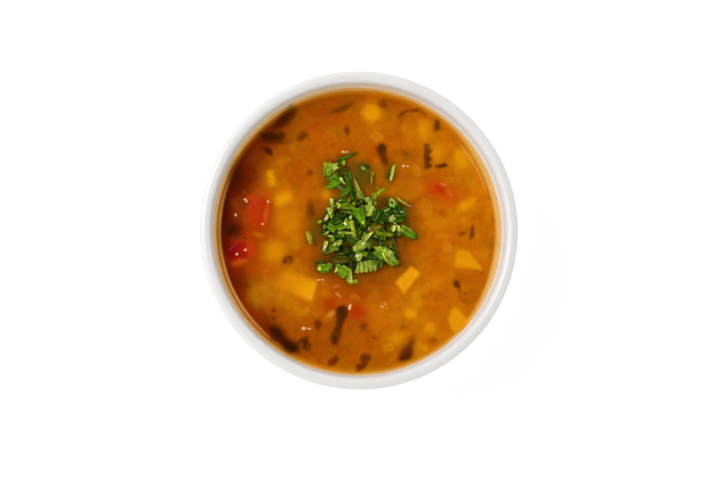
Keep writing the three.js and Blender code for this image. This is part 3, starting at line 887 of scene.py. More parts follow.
# The wilted leaves large enough to be pieces, in the order of their numbers: how deep their tops lie, their
# tops' rise along Y, how much the dal blurs their edges, and their outlines, in millimetres from the axis.
LEAVES = [
    (0.2, 0, 0.55, [
        (-43.7, 42.4), (-43.3, 44), (-40.5, 43.7), (-38, 43.9), (-36.3, 43), (-34.1, 43.9),
        (-31.9, 43.1), (-32.9, 41), (-34.1, 39.9), (-31.9, 39.1), (-36, 38.7), (-41.4, 39.4),
    ]),
    (0.2, 0, 1, [
        (-39.7, -41.5), (-36.3, -41.9), (-34.6, -44.3), (-34.4, -47), (-36.4, -46.4), (-38.5, -44.4),
    ]),
    (0.12, 0, 0.8, [
        (-34.6, -47), (-31.2, -48), (-27.8, -49.6), (-25.2, -51),
        (-26.1, -53), (-29.5, -54.4), (-32, -53.6), (-33.6, -51.4),
    ]),
    (0.2, 0, 0.5, [
        (-24.6, -48.7), (-22.7, -47), (-20.7, -50.2), (-21.2, -52.6), (-23.1, -53.4), (-24.6, -51.5),
    ]),
    (0.25, 0.03, 0.4, [
        (-10.4, -35.4), (-8.8, -33.4), (-6.2, -32.6), (-4.6, -34.4), (-4.6, -37.4), (-6, -40), (-6.8, -42.8),
        (-7.4, -45.6), (-8.2, -48.6), (-8.8, -51), (-11.2, -49.4), (-12.6, -46.8), (-10.8, -43.4),
        (-9.8, -41.6), (-9.8, -38.4),
    ]),
    (0.3, -0.06, 0.6, [
        (24.4, -45.6), (25.4, -47), (24.9, -50.4), (24.6, -53.6),
        (23.6, -56.2), (20.6, -57.4), (17.2, -57), (19, -53), (21.6, -49.4),
    ]),
    (0.25, 0.04, 0.5, [
        (8, 37.4), (10.2, 39.6), (12.8, 38), (12.7, 34.6), (13.6, 31.3), (13.2, 28.6), (11.4, 29.4),
        (9.8, 32.5), (8.4, 35.1),
    ]),
    (0.32, 0, 0.25, [
        (29.3, 38.6), (30.6, 39.5), (32, 38.9), (31.6, 37.5), (31.9, 36.7), (33.3, 36.5), (32.9, 35.1),
        (31.7, 34.5), (31.7, 33.3), (33.2, 33), (33, 31.7), (31.8, 31.2), (31.8, 30.2), (33, 29.6),
        (32.4, 28.4), (31, 27.8), (29.4, 28.1), (29.6, 31), (29.1, 33.5), (29.6, 36),
    ]),
    (0.15, 0, 0.3, [
        (33.3, 30.1), (35.2, 29.5), (36.9, 30.1), (39.4, 30.4), (39.7, 28.8), (36.9, 28.1), (34.8, 28.7),
    ]),
]

# Smaller flecks of leaf: middle, length, width, turn and how deep they lie.
FLECKS = [
    (-32.2, 50.6, 10.6, 5.6, 48, 0.6), (-25.9, 41, 5, 3.4, 45, 0.35), (-39.9, 35.2, 5, 3, -25, 0.12),
    (-6.4, 55, 8.6, 2.6, 24, 0.5), (-4.8, 44.8, 2.6, 4, 5, 0.3), (-21.4, 25.3, 2.8, 2.2, 0, 0.4),
    (-21, 9.8, 4, 8.4, 0, 0.6), (11.2, 57.4, 5, 3.8, -15, 0.4), (20.4, 52.9, 5.2, 1.5, 25, 0.25),
    (26, 54, 4.4, 1.5, 5, 0.25), (29, 52.8, 3, 1.3, -35, 0.35), (19.3, 50.2, 1.6, 3.4, -8, 0.8),
    (35.2, 46.9, 3.4, 5.2, -12, 0.3), (21.2, 34.7, 2.6, 2.4, 20, 0.6), (37.2, 8.7, 2, 1.9, 0, 0.6),
    (51.2, -0.2, 1.7, 7, -6, 0.25), (46.6, -1, 4.4, 1.5, 30, 0.4), (59.2, -5.4, 2.6, 6.4, 0, 1),
    (-37.3, -35.1, 1.9, 1.5, 0, 0.3), (-37.1, -38.8, 1.5, 1.9, 0, 0.3), (-36, -46.4, 6.4, 4.4, -45, 0.5),
    (-17.4, -41.6, 2.8, 4.8, -15, 0.3), (-10.8, -57.7, 4.6, 2.6, 42, 0.3), (2.3, -42.4, 4.2, 3.8, 10, 0.5),
    (-10.5, -48.4, 2.6, 3.8, -15, 0.35), (7.4, -47.4, 1.9, 1.5, 0, 0.3), (3.6, -55.8, 4, 3.6, 20, 0.4),
    (1.6, -59.6, 4.8, 2.6, 45, 0.25), (20, -42.2, 1.6, 1.9, -15, 0.6), (33.8, -48.1, 2.4, 1.1, 10, 0.5),
    (31.4, -48.3, 3.6, 1.2, 0, 0.9), (43.8, -23, 2.6, 3.8, 8, 0.2), (45.3, -27.5, 0.8, 5.4, 14, 0.3),
    (47.4, -31, 2.8, 0.9, -25, 0.4), (47.6, -27.3, 1.2, 1.1, 0, 0.2), (16.6, -5.8, 1.9, 1.5, 0, 0.3),
    (-31.1, -13.2, 4.4, 3.4, 10, 0.6), (-32.6, -13.2, 1.4, 2, 10, 0.3), (-30.4, -11.6, 2.4, 1, -20, 0.35),
    (-29.4, -13.6, 1, 1.8, 0, 0.4), (9.3, -30.4, 2.8, 2.6, 0, 1.3), (-14, -14.6, 4, 2.6, 10, 1.2),
]


def make_dark_leaves(dal):
    finish = wet_food("wilted_leaf", seen(74, 38, 3), 0.7 * MM, 0.05 * MM, roughness=0.6)
    chance = random.Random(3)
    flecks = []
    for i, (x, y, length, width, turn, depth) in enumerate(FLECKS, 71):
        edge = oblong(x, y, length * 1.25, width * 1.25, turn, chance.choice((5, 6, 7)), chance, 0.5)
        outline, paint = ragged(edge, chance, 0.35 * MM), (1.3, 0.05, 0.15 + 0.6 * depth)
        dark = seen(56, 20, 1) if length * width > 14 else seen(88, 24, 1)
        flecks.append(laid(dal, outline, -depth, 0.7, (0.18, 1, 0.25, 0.9, i), dark, paint))
    soaked = {"leaf_flecks": (joined(flecks, "leaf_flecks"), finish, "wilted_leaf", [])}
    for i, (depth, along_y, haze, corners) in enumerate(LEAVES, 1):
        node, form, paint = f"dark_leaf_{i}", (0.16, 1, 0.3, 1.2, i + 50), (1.3, 0.1, haze)
        edge = ragged(millimetres(corners), chance, 0.3 * MM)
        mesh = laid(dal, edge, -depth, 0.8, form, seen(46, 20, 1), paint, (0, along_y))
        soaked[node] = (mesh, finish, "wilted_leaf", [node])
    return soaked


def lens(x, y, z, length, width, height, turn):
    """A small rounded body in the place given in millimetres, z from the dal's level."""
    bm = bmesh.new()
    bmesh.ops.create_uvsphere(bm, u_segments=12, v_segments=8, radius=0.5 * MM)
    bmesh.ops.scale(bm, vec=(length, width, height), verts=bm.verts)
    turn_round(bm, turn)
    bmesh.ops.translate(bm, vec=(x * MM, y * MM, LEVEL + z * MM), verts=bm.verts)
    return mesh_of(bm, "lens")


# The lentils that show: middle, length, width and turn.
LENTILS = [
    (30.3, 10.2, 4.5, 8, 8), (20.8, 17.7, 14, 9, 20), (34.8, 3.7, 9, 4.8, -5), (36.9, -2.4, 5.5, 2.6, 0),
    (39.1, -6.7, 3.2, 5, 0), (25.8, 27, 3, 5.4, 15), (-1.6, -29.6, 4.6, 2.6, -30),
    (29.6, -25.6, 3.4, 5.6, -20), (11, -33.5, 3.6, 4.4, 0), (-24, -36, 5, 3.4, 25),
    (-13.5, -38.4, 3, 4, -30), (55, -11, 4.6, 3.6, 30), (-33, 31, 5, 4, 10), (8, 42, 5, 4, -20),
    (40, 22.6, 4.6, 3.4, 10), (13, -52, 4.6, 3.6, 20),
]
LENTIL_COUNT = 110


def make_lentils(dal):
    chance = random.Random(11)
    rows = [(*row, 0.8) for row in LENTILS]
    while len(rows) < LENTIL_COUNT:
        x, y = chance.uniform(-58, 58), chance.uniform(-58, 58)
        length = chance.uniform(3.6, 5.6)
        if math.hypot(x, y) < 58:
            rows.append((x, y, length, length * chance.uniform(0.6, 0.9), chance.uniform(0, 180), 0.15))
    meshes = []
    for x, y, length, width, turn, strength in rows:
        inner = dal.patch(x, y, length, width, turn, 0.4)
        dal.wash(seen(212, 130, 6), 0.7 * strength * inner)
        # The pale crescent on one side of each listed lentil is a painted highlight.
        if strength > 0.5:
            around = dal.patch(x + 0.4, y + 0.15, length, width, turn, 0.12)
            within = dal.patch(x, y, length, width, turn, 0.12)
            dal.wash(seen(232, 156, 30), 0.55 * np.clip(around - within, 0, 1))
        dal.height += 0.14 * MM * strength * inner
        meshes.append(lens(x, y, -0.7 - chance.uniform(0, 0.8), length, width, 1.4, turn))
    finish = wet_food("lentil", seen(216, 140, 20), 1.2 * MM, 0.04 * MM)
    return {"lentils": (joined(meshes, "lentils"), finish, "dal", [])}


# Bubbles on the dal: middle, length, width and turn.
BUBBLES = [
    (-6.6, 35.1, 1.7, 1.2, 0), (-4.9, 35.2, 1.3, 0.9, 20), (20.4, 29.1, 1.6, 1.1, 5),
    (22.1, 29, 1.2, 0.8, -10), (-17.4, -21.8, 1.6, 0.8, 5), (-15.7, -21.7, 1, 0.7, 0),
    (-23.8, -43.2, 2.5, 1.5, 5), (-21.4, -43.3, 1.4, 1.2, 0), (-3.6, -33.7, 1.5, 3, -12),
    (10.7, -33.5, 1.7, 0.8, -30), (11.7, -32.4, 1, 0.6, -60), (-49.6, 13.2, 2.4, 1.1, -50),
    (-54, 6.8, 1.1, 1.5, 0), (-49.7, -8.6, 2.1, 1.3, 10), (-53.5, -10.6, 1.7, 1.3, 40),
    (-39.9, 12.7, 1.5, 1.1, -20), (-42.2, 2.8, 1.6, 1, 0),
]


def make_bubbles():
    meshes = []
    for x, y, length, width, turn in BUBBLES:
        meshes.append(lens(x, y, -0.05, length, width, 0.7 * min(length, width), turn))
    return {"bubbles": (joined(meshes, "bubbles"), bubble_film(), "dal", [])}


# The coriander

TONES = {
    "deep": seen(42, 80, 2),
    "olive": seen(88, 74, 2),
    "leaf": seen(92, 134, 6),
    "fresh": seen(112, 146, 12),
    "lime": seen(136, 160, 12),
    "pale": seen(168, 185, 62),
    "straw": seen(188, 188, 34),
    "faded": seen(150, 130, 8),
    # The last two tones, pink and mint, are painted glints: pale tones standing in for light caught on wet
    # leaf.
    "wet": seen(222, 186, 160),
    "dewy": seen(186, 204, 140),
}

# The coriander bits on top, by tone: middle, length, width, turn, and how the bit was cut.
CORIANDER = {
    "olive": [
        (7, 0.6, 4, 3, 10, "cut"), (6.4, -5.6, 4.4, 3, -30, "cut"), (13, -5.6, 3.4, 2, 20, "cut"),
        (8, 2.1, 4, 2.6, 20, "cut"), (-8, -13, 6, 3.4, 10, "cut"), (17.2, -14.4, 3.4, 2, -40, "lobe"),
        (22.5, 3.3, 1.6, 1.2, 0, "cut"), (-6.6, 26.6, 5, 3.6, 50, "lobe"),
    ],
    "deep": [
        (-8, 30.8, 4.6, 2.4, 35, "lobe"), (-4.4, 33.1, 6, 1, 20, "cut"), (3, 28, 4.4, 3.6, 10, "lobe"),
        (-4.6, 23.4, 4.6, 3, -70, "cut"), (19.6, 7.6, 5.6, 5, 40, "lobe"), (-6.6, 6.4, 6, 4.4, 10, "lobe"),
        (19, 0.2, 5, 4, -20, "lobe"), (-13, 7, 5, 4.4, 60, "lobe"), (-8.6, -1.8, 6, 4, 15, "lobe"),
        (9.6, 5.4, 6, 4.4, 70, "lobe"), (8.6, -12, 6, 4.6, -20, "lobe"), (-4.4, 21, 5.6, 1.4, -78, "cut"),
        (-2.9, 17.3, 6.2, 2, -80, "cut"), (14.3, 25.5, 5, 1.5, 75, "cut"), (-4.4, 8.4, 6.2, 1.8, 0, "cut"),
        (0.6, 12.8, 3.2, 2, 20, "cut"), (-10.1, 2.5, 6.4, 5, 30, "lobe"), (-15, -1.2, 3.4, 2.6, 10, "lobe"),
        (13.7, 8.6, 5, 5, 20, "curl"), (17.4, 9.5, 5, 5, 60, "curl"), (12.5, 5.8, 4.2, 4, 120, "curl"),
        (17.8, 5.4, 5, 4, 10, "lobe"), (25.6, -2.2, 2.6, 3, 60, "cut"), (5.5, -11.4, 8.2, 1.8, -12, "cut"),
        (-16.6, -14.6, 4.6, 3, 20, "lobe"), (-2, -4.4, 6, 3.4, -20, "cut"),
        (-7.4, 19.2, 3.4, 2.2, -60, "cut"),
    ],
    "leaf": [
        (-11.8, 24.4, 6, 4.2, 30, "lobe"), (-10.4, 21, 6.4, 2.6, 33, "cut"),
        (-5.8, 17.1, 5.4, 2.4, 45, "cut"), (-7.6, 13.6, 5.4, 1.4, 0, "cut"),
        (1, 5.8, 7.6, 5.8, -65, "wedge"), (-11.7, 1.3, 3.4, 2.4, -35, "cut"),
        (-10.5, -7.4, 4.6, 3, 10, "lobe"), (15.3, 11.9, 4, 3, 15, "curl"), (22.6, -1, 6.2, 3.6, -24, "cut"),
        (9.2, -10.2, 4, 3, -30, "cut"), (-7, -17.6, 8, 5.2, -22, "lobe"), (7.5, -14.7, 3, 2.6, 60, "cut"),
        (1.2, -9.6, 5, 2, -20, "cut"), (-7.6, 1.6, 3.6, 2.4, 20, "cut"),
        (-14.6, -16.4, 6.4, 3.8, 12, "lobe"),
    ],
    "faded": [
        (6.3, 25.1, 3.6, 1.3, 80, "cut"), (5.7, 21.8, 2.5, 1, 80, "cut"), (8.4, 19, 2, 1.2, 20, "cut"),
        (-21.6, -3, 5.8, 2, -70, "cut"),
    ],
    "fresh": [(12.9, -11.0, 8.8, 4.4, -50, "cut")],
    "lime": [
        (-13.8, 27, 6.6, 4.8, 82, "lobe"), (10.4, 17.9, 3.8, 1.6, 28, "cut"),
        (-4.8, 10.9, 6.6, 2.9, -8, "cut"), (7.1, 14.8, 3.4, 2, 80, "cut"),
        (-16.7, 4.1, 1.8, 1.2, 10, "cut"), (-2.7, -22.5, 4.6, 2, 0, "lobe"),
    ],
    "pale": [
        (12, -11.6, 4, 1.4, -55, "cut"), (-11, 28.2, 4.6, 3.6, 30, "lobe"), (-6.4, 30.4, 2, 1.6, 60, "cut"),
        (2.4, 28, 2.2, 1.8, 0, "cut"), (11.6, -9.4, 6, 0.8, -47, "cut"), (15, -11.6, 6, 0.7, -47, "cut"),
        (-6.8, 21.8, 3.6, 0.8, -45, "cut"), (-0.5, 19.3, 9.4, 2.4, 109, "wedge"),
        (15.2, 25.9, 6.4, 1.2, 77, "cut"), (-11.5, 11.9, 3.8, 1.6, 85, "cut"),
        (-12.2, 7.8, 4.2, 2.6, -80, "wedge"), (-8.5, 11.1, 2.6, 2.2, 80, "cut"),
        (-1.9, 11.9, 1.6, 1.2, 80, "cut"), (4.3, 13.6, 3.8, 2, -20, "lobe"), (5, 9.4, 7, 4.2, 78, "curl"),
        (7.7, 12.5, 1.6, 1.4, 0, "cut"), (-3.3, 5.8, 2.6, 1.2, 80, "cut"), (-4.7, 3, 3.6, 2, -60, "cut"),
        (-13.8, 5.8, 2.6, 1.3, 75, "cut"), (-14.8, 1.7, 2, 1.3, 80, "cut"),
        (-12.2, -2.4, 2.6, 1, -10, "cut"), (-8.5, -5.3, 3.2, 2.4, 20, "lobe"),
        (-14.6, -6.9, 4.2, 1.6, 70, "cut"), (4.5, -2.2, 4.8, 2.6, 40, "wedge"),
        (1.4, -6.4, 6.6, 3.8, 20, "cut"), (14.9, 5.4, 3.6, 3, 60, "curl"),
        (14.5, 13.2, 3.4, 1.3, 80, "cut"), (20, 13, 5.4, 0.8, -30, "cut"), (15.7, 1.3, 3, 2, 70, "cut"),
        (18.2, 0.9, 3, 1.6, 100, "cut"), (13.3, -9.4, 4, 2.4, -40, "cut"), (14.3, -6.7, 1.6, 1.4, 0, "cut"),
        (0.6, -11.7, 3, 2.4, 80, "cut"), (10.4, -11.9, 1.6, 1.2, 10, "cut"),
        (3.2, -16.1, 4.2, 9, 98, "fan"), (-9.4, -17.4, 2.2, 1.2, 40, "cut"),
        (-17.1, -16.8, 2.4, 2, 20, "lobe"), (-3.5, -19.7, 4.6, 2.6, 88, "wedge"),
    ],
}

# Cut stems: middle, length, thickness, turn and tone.
STEMS = [
    (-2.3, 0.9, 6.8, 1.8, -75, "straw"), (-5.2, -1, 7, 1.1, -2, "pale"), (11.4, -1.6, 7.8, 1.7, -4, "lime"),
    (1.8, 16.4, 4.6, 0.8, -60, "lime"), (8.4, 6, 4, 0.7, 60, "leaf"),
]

# Small bits that lie on top, most of them wet tips whose pale tones are painted glints: tone, middle,
# length, width and turn.
TIPS = [
    ("deep", -7.4, 6.9, 3.8, 2.6, -15), ("deep", -9, 4.4, 3, 2, 30), ("deep", -5, -9.2, 3, 2, 10),
    ("wet", -11.6, 13.2, 1.8, 0.9, 70), ("wet", -14.4, 5, 1.8, 0.9, 75), ("wet", -14.7, -7.2, 2.2, 1, 65),
    ("wet", -0.3, -10.9, 1.8, 1.3, 10), ("wet", 14.6, 23.6, 1.2, 0.7, 30),
    ("wet", 23.1, 11.2, 1.4, 0.5, -20), ("dewy", -7.2, 22.9, 1.8, 0.8, -55),
    ("dewy", -3.5, 5.9, 1.6, 0.9, 70), ("dewy", -5.5, 3, 1.9, 1, -35), ("dewy", 14.7, 5.9, 1.6, 1.2, 60),
    ("dewy", 14.1, -9.1, 1.5, 0.9, -40), ("dewy", 15.9, 12.6, 1.4, 0.6, -60),
    ("dewy", 12.2, 9, 1.2, 0.8, 30), ("dewy", 19.4, 8.6, 1.2, 0.6, 20), ("dewy", 16, 2, 1.3, 0.8, -50),
    ("dewy", 4, 14.4, 1.6, 0.9, 10), ("dewy", 2.4, -5.6, 2, 1, 25), ("dewy", -9.4, -16.6, 1, 0.7, 50),
]
FILL_COUNT = 110
FILL_MIDDLE = (1.5, -1.5)
FILL_REACH = (16.0, 15.0)
FILL_TONES = ("deep", "deep", "leaf", "olive", "olive")
SHRED_COUNT = 36
SPECK_COUNT = 24

# Where the heap is open down to its minced middle: middle and reach.
GAPS = [(10.4, 10.8, 3.0), (8.2, 3.8, 2.4), (12.0, -4.4, 3.0), (-11.0, -12.2, 3.2)]

# Where the heap is darker or lighter than its bits are by themselves: middle, reach and by how much.
SHADES = [
    (-7.2, 6.5, 3.4, 0.45), (-5, -9.5, 2.4, 0.5), (-9.6, -12.8, 3.6, 0.55), (5.8, -11.8, 3, 0.5),
    (-4, -1, 3, 1.5), (-12, 3, 3, 0.7), (-6, 14, 3.4, 0.6), (-6.5, 26.4, 2.6, 0.5), (-13, -0.5, 3, 0.75),
    (6, 13, 3, 0.8), (0, 19.4, 3, 0.75), (0.8, 0, 3, 1.6), (1.2, -6.4, 3, 0.6), (3.2, -16.1, 3.6, 0.8),
    (1, 5.8, 1.6, 1.1), (5, 10.4, 2.6, 0.85), (-10.6, 27.6, 1.8, 0.75), (-13.6, 26.6, 2.4, 1.15),
    (-12.8, 7, 2, 1.15), (7, 0.4, 2.2, 1.2), (-6.4, 26.6, 2, 0.8), (0.4, 12.6, 1.8, 0.6),
    (-4.4, 8.2, 2, 0.75), (3, 28, 2.4, 0.65), (15, 5.4, 1.4, 0.8), (-4.8, 10.9, 1.4, 0.9),
]
LEAF_THICKNESS = 0.22 * MM
LEAF_CELL = 0.75 * MM
PILE_CELL = 0.5 * MM
PILE_HALF = 36 * MM


def outlined(bm, chance, form):
    """Shapes a grid from -1 to 1 in both ways like one kind of cut leaf."""
    flat = np.array([v.co for v in bm.verts])
    u, v = flat[:, 0], flat[:, 1]
    if form == "wedge":
        v = v * (0.06 + 0.94 * ((1 - u) / 2) ** 0.85)
        u = u + 0.12 * v
    elif form == "cut":
        drawn_in = [chance.uniform(0, 0.6) for _ in range(4)]
        ends = chance.uniform(-0.4, 0.4), chance.uniform(-0.4, 0.4)
        corner = np.where(u > 0, 0, 1) + np.where(v > 0, 0, 2)
        v = v * (1 - np.array(drawn_in)[corner] * np.abs(u)) + chance.uniform(-0.25, 0.25) * u
        u = u + np.where(u > 0, ends[0], ends[1]) * v * np.abs(u)
    elif form == "fan":
        v = v * (0.8 - 0.2 * u)
        u = np.where(u > 0, u, u * (0.85 + 0.15 * np.cos(17 * v)))
    else:
        u, v = round_from_square(u, v)
        a = np.arctan2(v, u)
        lobes, phase = chance.choice((3, 5, 6)), chance.uniform(0, 6.3)
        notch = (1 - np.abs(np.sin(lobes * a / 2 + phase))) ** 1.3
        teeth = np.abs((lobes * 3 * a / 6.28 + phase) % 1 - 0.5) * 2
        reach = 1.16 - 0.42 * notch - 0.3 * teeth
        cut_off = 0.8 + chance.uniform(-0.4, 0.4) * u
        u, v = np.maximum(u * reach, -0.75 - 0.2 * v), np.minimum(v * reach, cut_off)
    for vert, place in zip(bm.verts, zip(u, v)):
        vert.co = (*place, 0)


def leaf_bit(chance, length, width, form, tone):
    """A cut of coriander leaf about its own middle, its length along X, with its plan kept as a UV map."""
    cell = LEAF_CELL / 2 if form == "fan" else LEAF_CELL
    along = max(4, round(length / cell))
    across = 2 * max(1, round(width / cell / 2))
    bm = bmesh.new()
    bmesh.ops.create_grid(bm, x_segments=along, y_segments=across, size=1.0)
    outlined(bm, chance, form)
    bmesh.ops.scale(bm, vec=(length / 2, width / 2, 1), verts=bm.verts)
    plan = bm.loops.layers.uv.new("leaf_plan")
    for face in bm.faces:
        for loop in face.loops:
            loop[plan].uv = (loop.vert.co.x / MM, loop.vert.co.y / MM)
    curl = chance.uniform(0.4, 0.7) if form == "curl" else chance.uniform(-0.08, 0.15)
    fold = chance.uniform(-0.15, 0.25)
    bend = chance.uniform(-0.12, 0.12)
    phase = chance.uniform(0, 6.3)
    ruffle = (0.45 if form == "curl" else chance.uniform(0.08, 0.22)) * MM
    light, side = chance.uniform(-0.5, 0.5), chance.uniform(-0.3, 0.3)
    lit_side, lit = chance.choice((-1, 1)), chance.choice((0.0, 0.3, 0.6))
    layer = bm.verts.layers.float_color.new("leaf_tone")
    for vert in bm.verts:
        u, v = 2 * vert.co.x / length, 2 * vert.co.y / width
        ridge = 0.35 * math.cos(17 * v) if form == "fan" else 0.0
        shade = (1.3 if vert.is_boundary else 1.0) * max(0.3, 1 + light * u + side * v + ridge)
        share = lit * min(max((lit_side * v - 0.3) / 0.7, 0.0), 1.0)
        vert[layer] = (*(c * shade * (1 - share) + pale * share for c, pale in zip(tone, TONES["pale"])), 1)
        drop = width / 2 * (curl * v * v + fold * abs(v)) + length / 2 * bend * u * u
        vert.co.z = ruffle * math.sin(4 * u + phase) * math.cos(3 * v + phase) - drop
    bmesh.ops.solidify(bm, geom=bm.faces[:], thickness=LEAF_THICKNESS)
    bmesh.ops.recalc_face_normals(bm, faces=bm.faces)
    return bm


def stem_bit(chance, length, thickness, tone):
    """A cut stem about its own middle, its length along X, slightly bent."""
    bm = bmesh.new()
    ring = bmesh.ops.create_circle(bm, cap_ends=True, radius=thickness / 2, segments=8)["verts"]
    bmesh.ops.rotate(bm, cent=(0, 0, 0), matrix=Matrix.Rotation(math.pi / 2, 3, "Y"), verts=ring)
    bmesh.ops.translate(bm, vec=(-length / 2, 0, 0), verts=ring)
    end = bm.faces[:]
    steps = 6
    for _ in range(steps):
        grown = bmesh.ops.extrude_face_region(bm, geom=end)["geom"]
        verts = [g for g in grown if isinstance(g, bmesh.types.BMVert)]
        bmesh.ops.translate(bm, vec=(length / steps, 0, 0), verts=verts)
        end = [g for g in grown if isinstance(g, bmesh.types.BMFace)]
    bend = chance.uniform(-0.08, 0.08)
    plan = bm.loops.layers.uv.new("leaf_plan")
    layer = bm.verts.layers.float_color.new("leaf_tone")
    for vert in bm.verts:
        u = 2 * vert.co.x / length
        vert.co += Vector((0, bend * length * u * u, thickness / 2))
        vert[layer] = (*(c * (1.3 if abs(u) > 0.99 else 1.0) for c in tone), 1)
    for face in bm.faces:
        for loop in face.loops:
            loop[plan].uv = (0.6, 0.4)
    bmesh.ops.recalc_face_normals(bm, faces=bm.faces)
    return bm


class HerbPile:
    """Coriander that piles up: each bit is laid on what already lies there."""

    def __init__(self, core):
        line = np.arange(-PILE_HALF, PILE_HALF, PILE_CELL)
        self.x, self.y = np.meshgrid(line, line)
        self.top = top_of(core, self.x, self.y, LEVEL)
        self.meshes = []

    def cell(self, x, y):
        last = len(self.top) - 2
        column = np.clip(np.round((x + PILE_HALF) / PILE_CELL).astype(int), 1, last)
        row = np.clip(np.round((y + PILE_HALF) / PILE_CELL).astype(int), 1, last)
        return row, column

    def lay(self, bm, x, y, turn, tilt, press=0.85):
        """Lays a bit down so that it bends along its bed. Press is how much of it clears the bed. The place,
        in millimetres, is where the bit is seen on the dal's level, so high bits move towards the camera."""
        high = float(self.top[self.cell(np.array(x * MM), np.array(y * MM))] - LEVEL)
        slant = math.tan(math.radians(CAMERA_LEAN)) * high * SETTLED
        side = math.radians(CAMERA_SIDE)
        spot = Vector((x * MM + slant * math.cos(side), y * MM + slant * math.sin(side), 0))
        turn_round(bm, turn)
        bmesh.ops.translate(bm, vec=spot, verts=bm.verts)
        places = np.array([v.co for v in bm.verts])
        cells = self.cell(places[:, 0], places[:, 1])
        soft = blurred(self.top, 0.9 * MM, PILE_CELL)[cells]
        away = np.column_stack((places[:, 0] - spot.x, places[:, 1] - spot.y, np.ones(len(places))))
        fit = np.linalg.lstsq(away, soft, rcond=None)[0]
        slope = np.clip(fit[:2], -0.6, 0.6) + tilt
        places[:, 2] += away[:, :2] @ slope + 0.6 * (soft - away @ fit)
        places[:, 2] += np.quantile(self.top[cells] - places[:, 2], press) + LEAF_THICKNESS / 2
        for vert, z in zip(bm.verts, places[:, 2]):
            vert.co.z = z
        for down in (-1, 0, 1):
            for right in (-1, 0, 1):
                np.maximum.at(self.top, (cells[0] + down, cells[1] + right), places[:, 2])
        self.meshes.append(mesh_of(bm, "bit"))


def varied(chance, tone, spread):
    """A tone made a little lighter or darker, yellower or greener."""
    light = math.exp(chance.gauss(0, spread))
    warm = math.exp(chance.gauss(0, spread / 2))
    return (tone[0] * light * warm, tone[1] * light, tone[2] * light)


def shaded(tone, x, y):
    """A tone made as light or dark as the heap is at a place given in millimetres."""
    shade = 1.0
    for middle_x, middle_y, reach, by in SHADES:
        shade *= by ** math.exp(-(((x - middle_x) ** 2 + (y - middle_y) ** 2) / reach**2))
    return tuple(shade * c for c in tone)


def leaning(chance, spread):
    return np.array([chance.gauss(0, spread), chance.gauss(0, spread)])


CORE_MIDDLE = (1.4 * MM, 1.0 * MM)
CORE_REACH = 0.74
CORE_RISE = 0.2

# How far the laid heap settles.
SETTLED = 0.85


def herb_core():
    """What fills the heap under the loose bits: the heap's own form, smaller, with a minced surface."""
    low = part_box("herb_heap")[0]
    bm = bmesh.new()
    bm.from_mesh(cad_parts["herb_heap"].data)
    bmesh.ops.remove_doubles(bm, verts=bm.verts, dist=0.02 * MM)
    bmesh.ops.subdivide_edges(bm, edges=bm.edges, cuts=2, use_grid_fill=True)
    bmesh.ops.triangulate(bm, faces=bm.faces)
    for vert in bm.verts:
        vert.co.x = CORE_MIDDLE[0] + (vert.co.x - CORE_MIDDLE[0]) * CORE_REACH
        vert.co.y = CORE_MIDDLE[1] + (vert.co.y - CORE_MIDDLE[1]) * CORE_REACH
        vert.co.z = LEVEL - 0.6 * MM + (vert.co.z - low.z) * CORE_RISE
    smooth(bm, 3)
    bmesh.ops.recalc_face_normals(bm, faces=bm.faces)
    bm.normal_update()
    for vert in bm.verts:
        near = noise.voronoi(vert.co / (1.6 * MM))[0]
        vert.co += vert.normal * 0.9 * MM * (near[1] - near[0] - 0.3)
    return mesh_of(bm, "coriander_core")


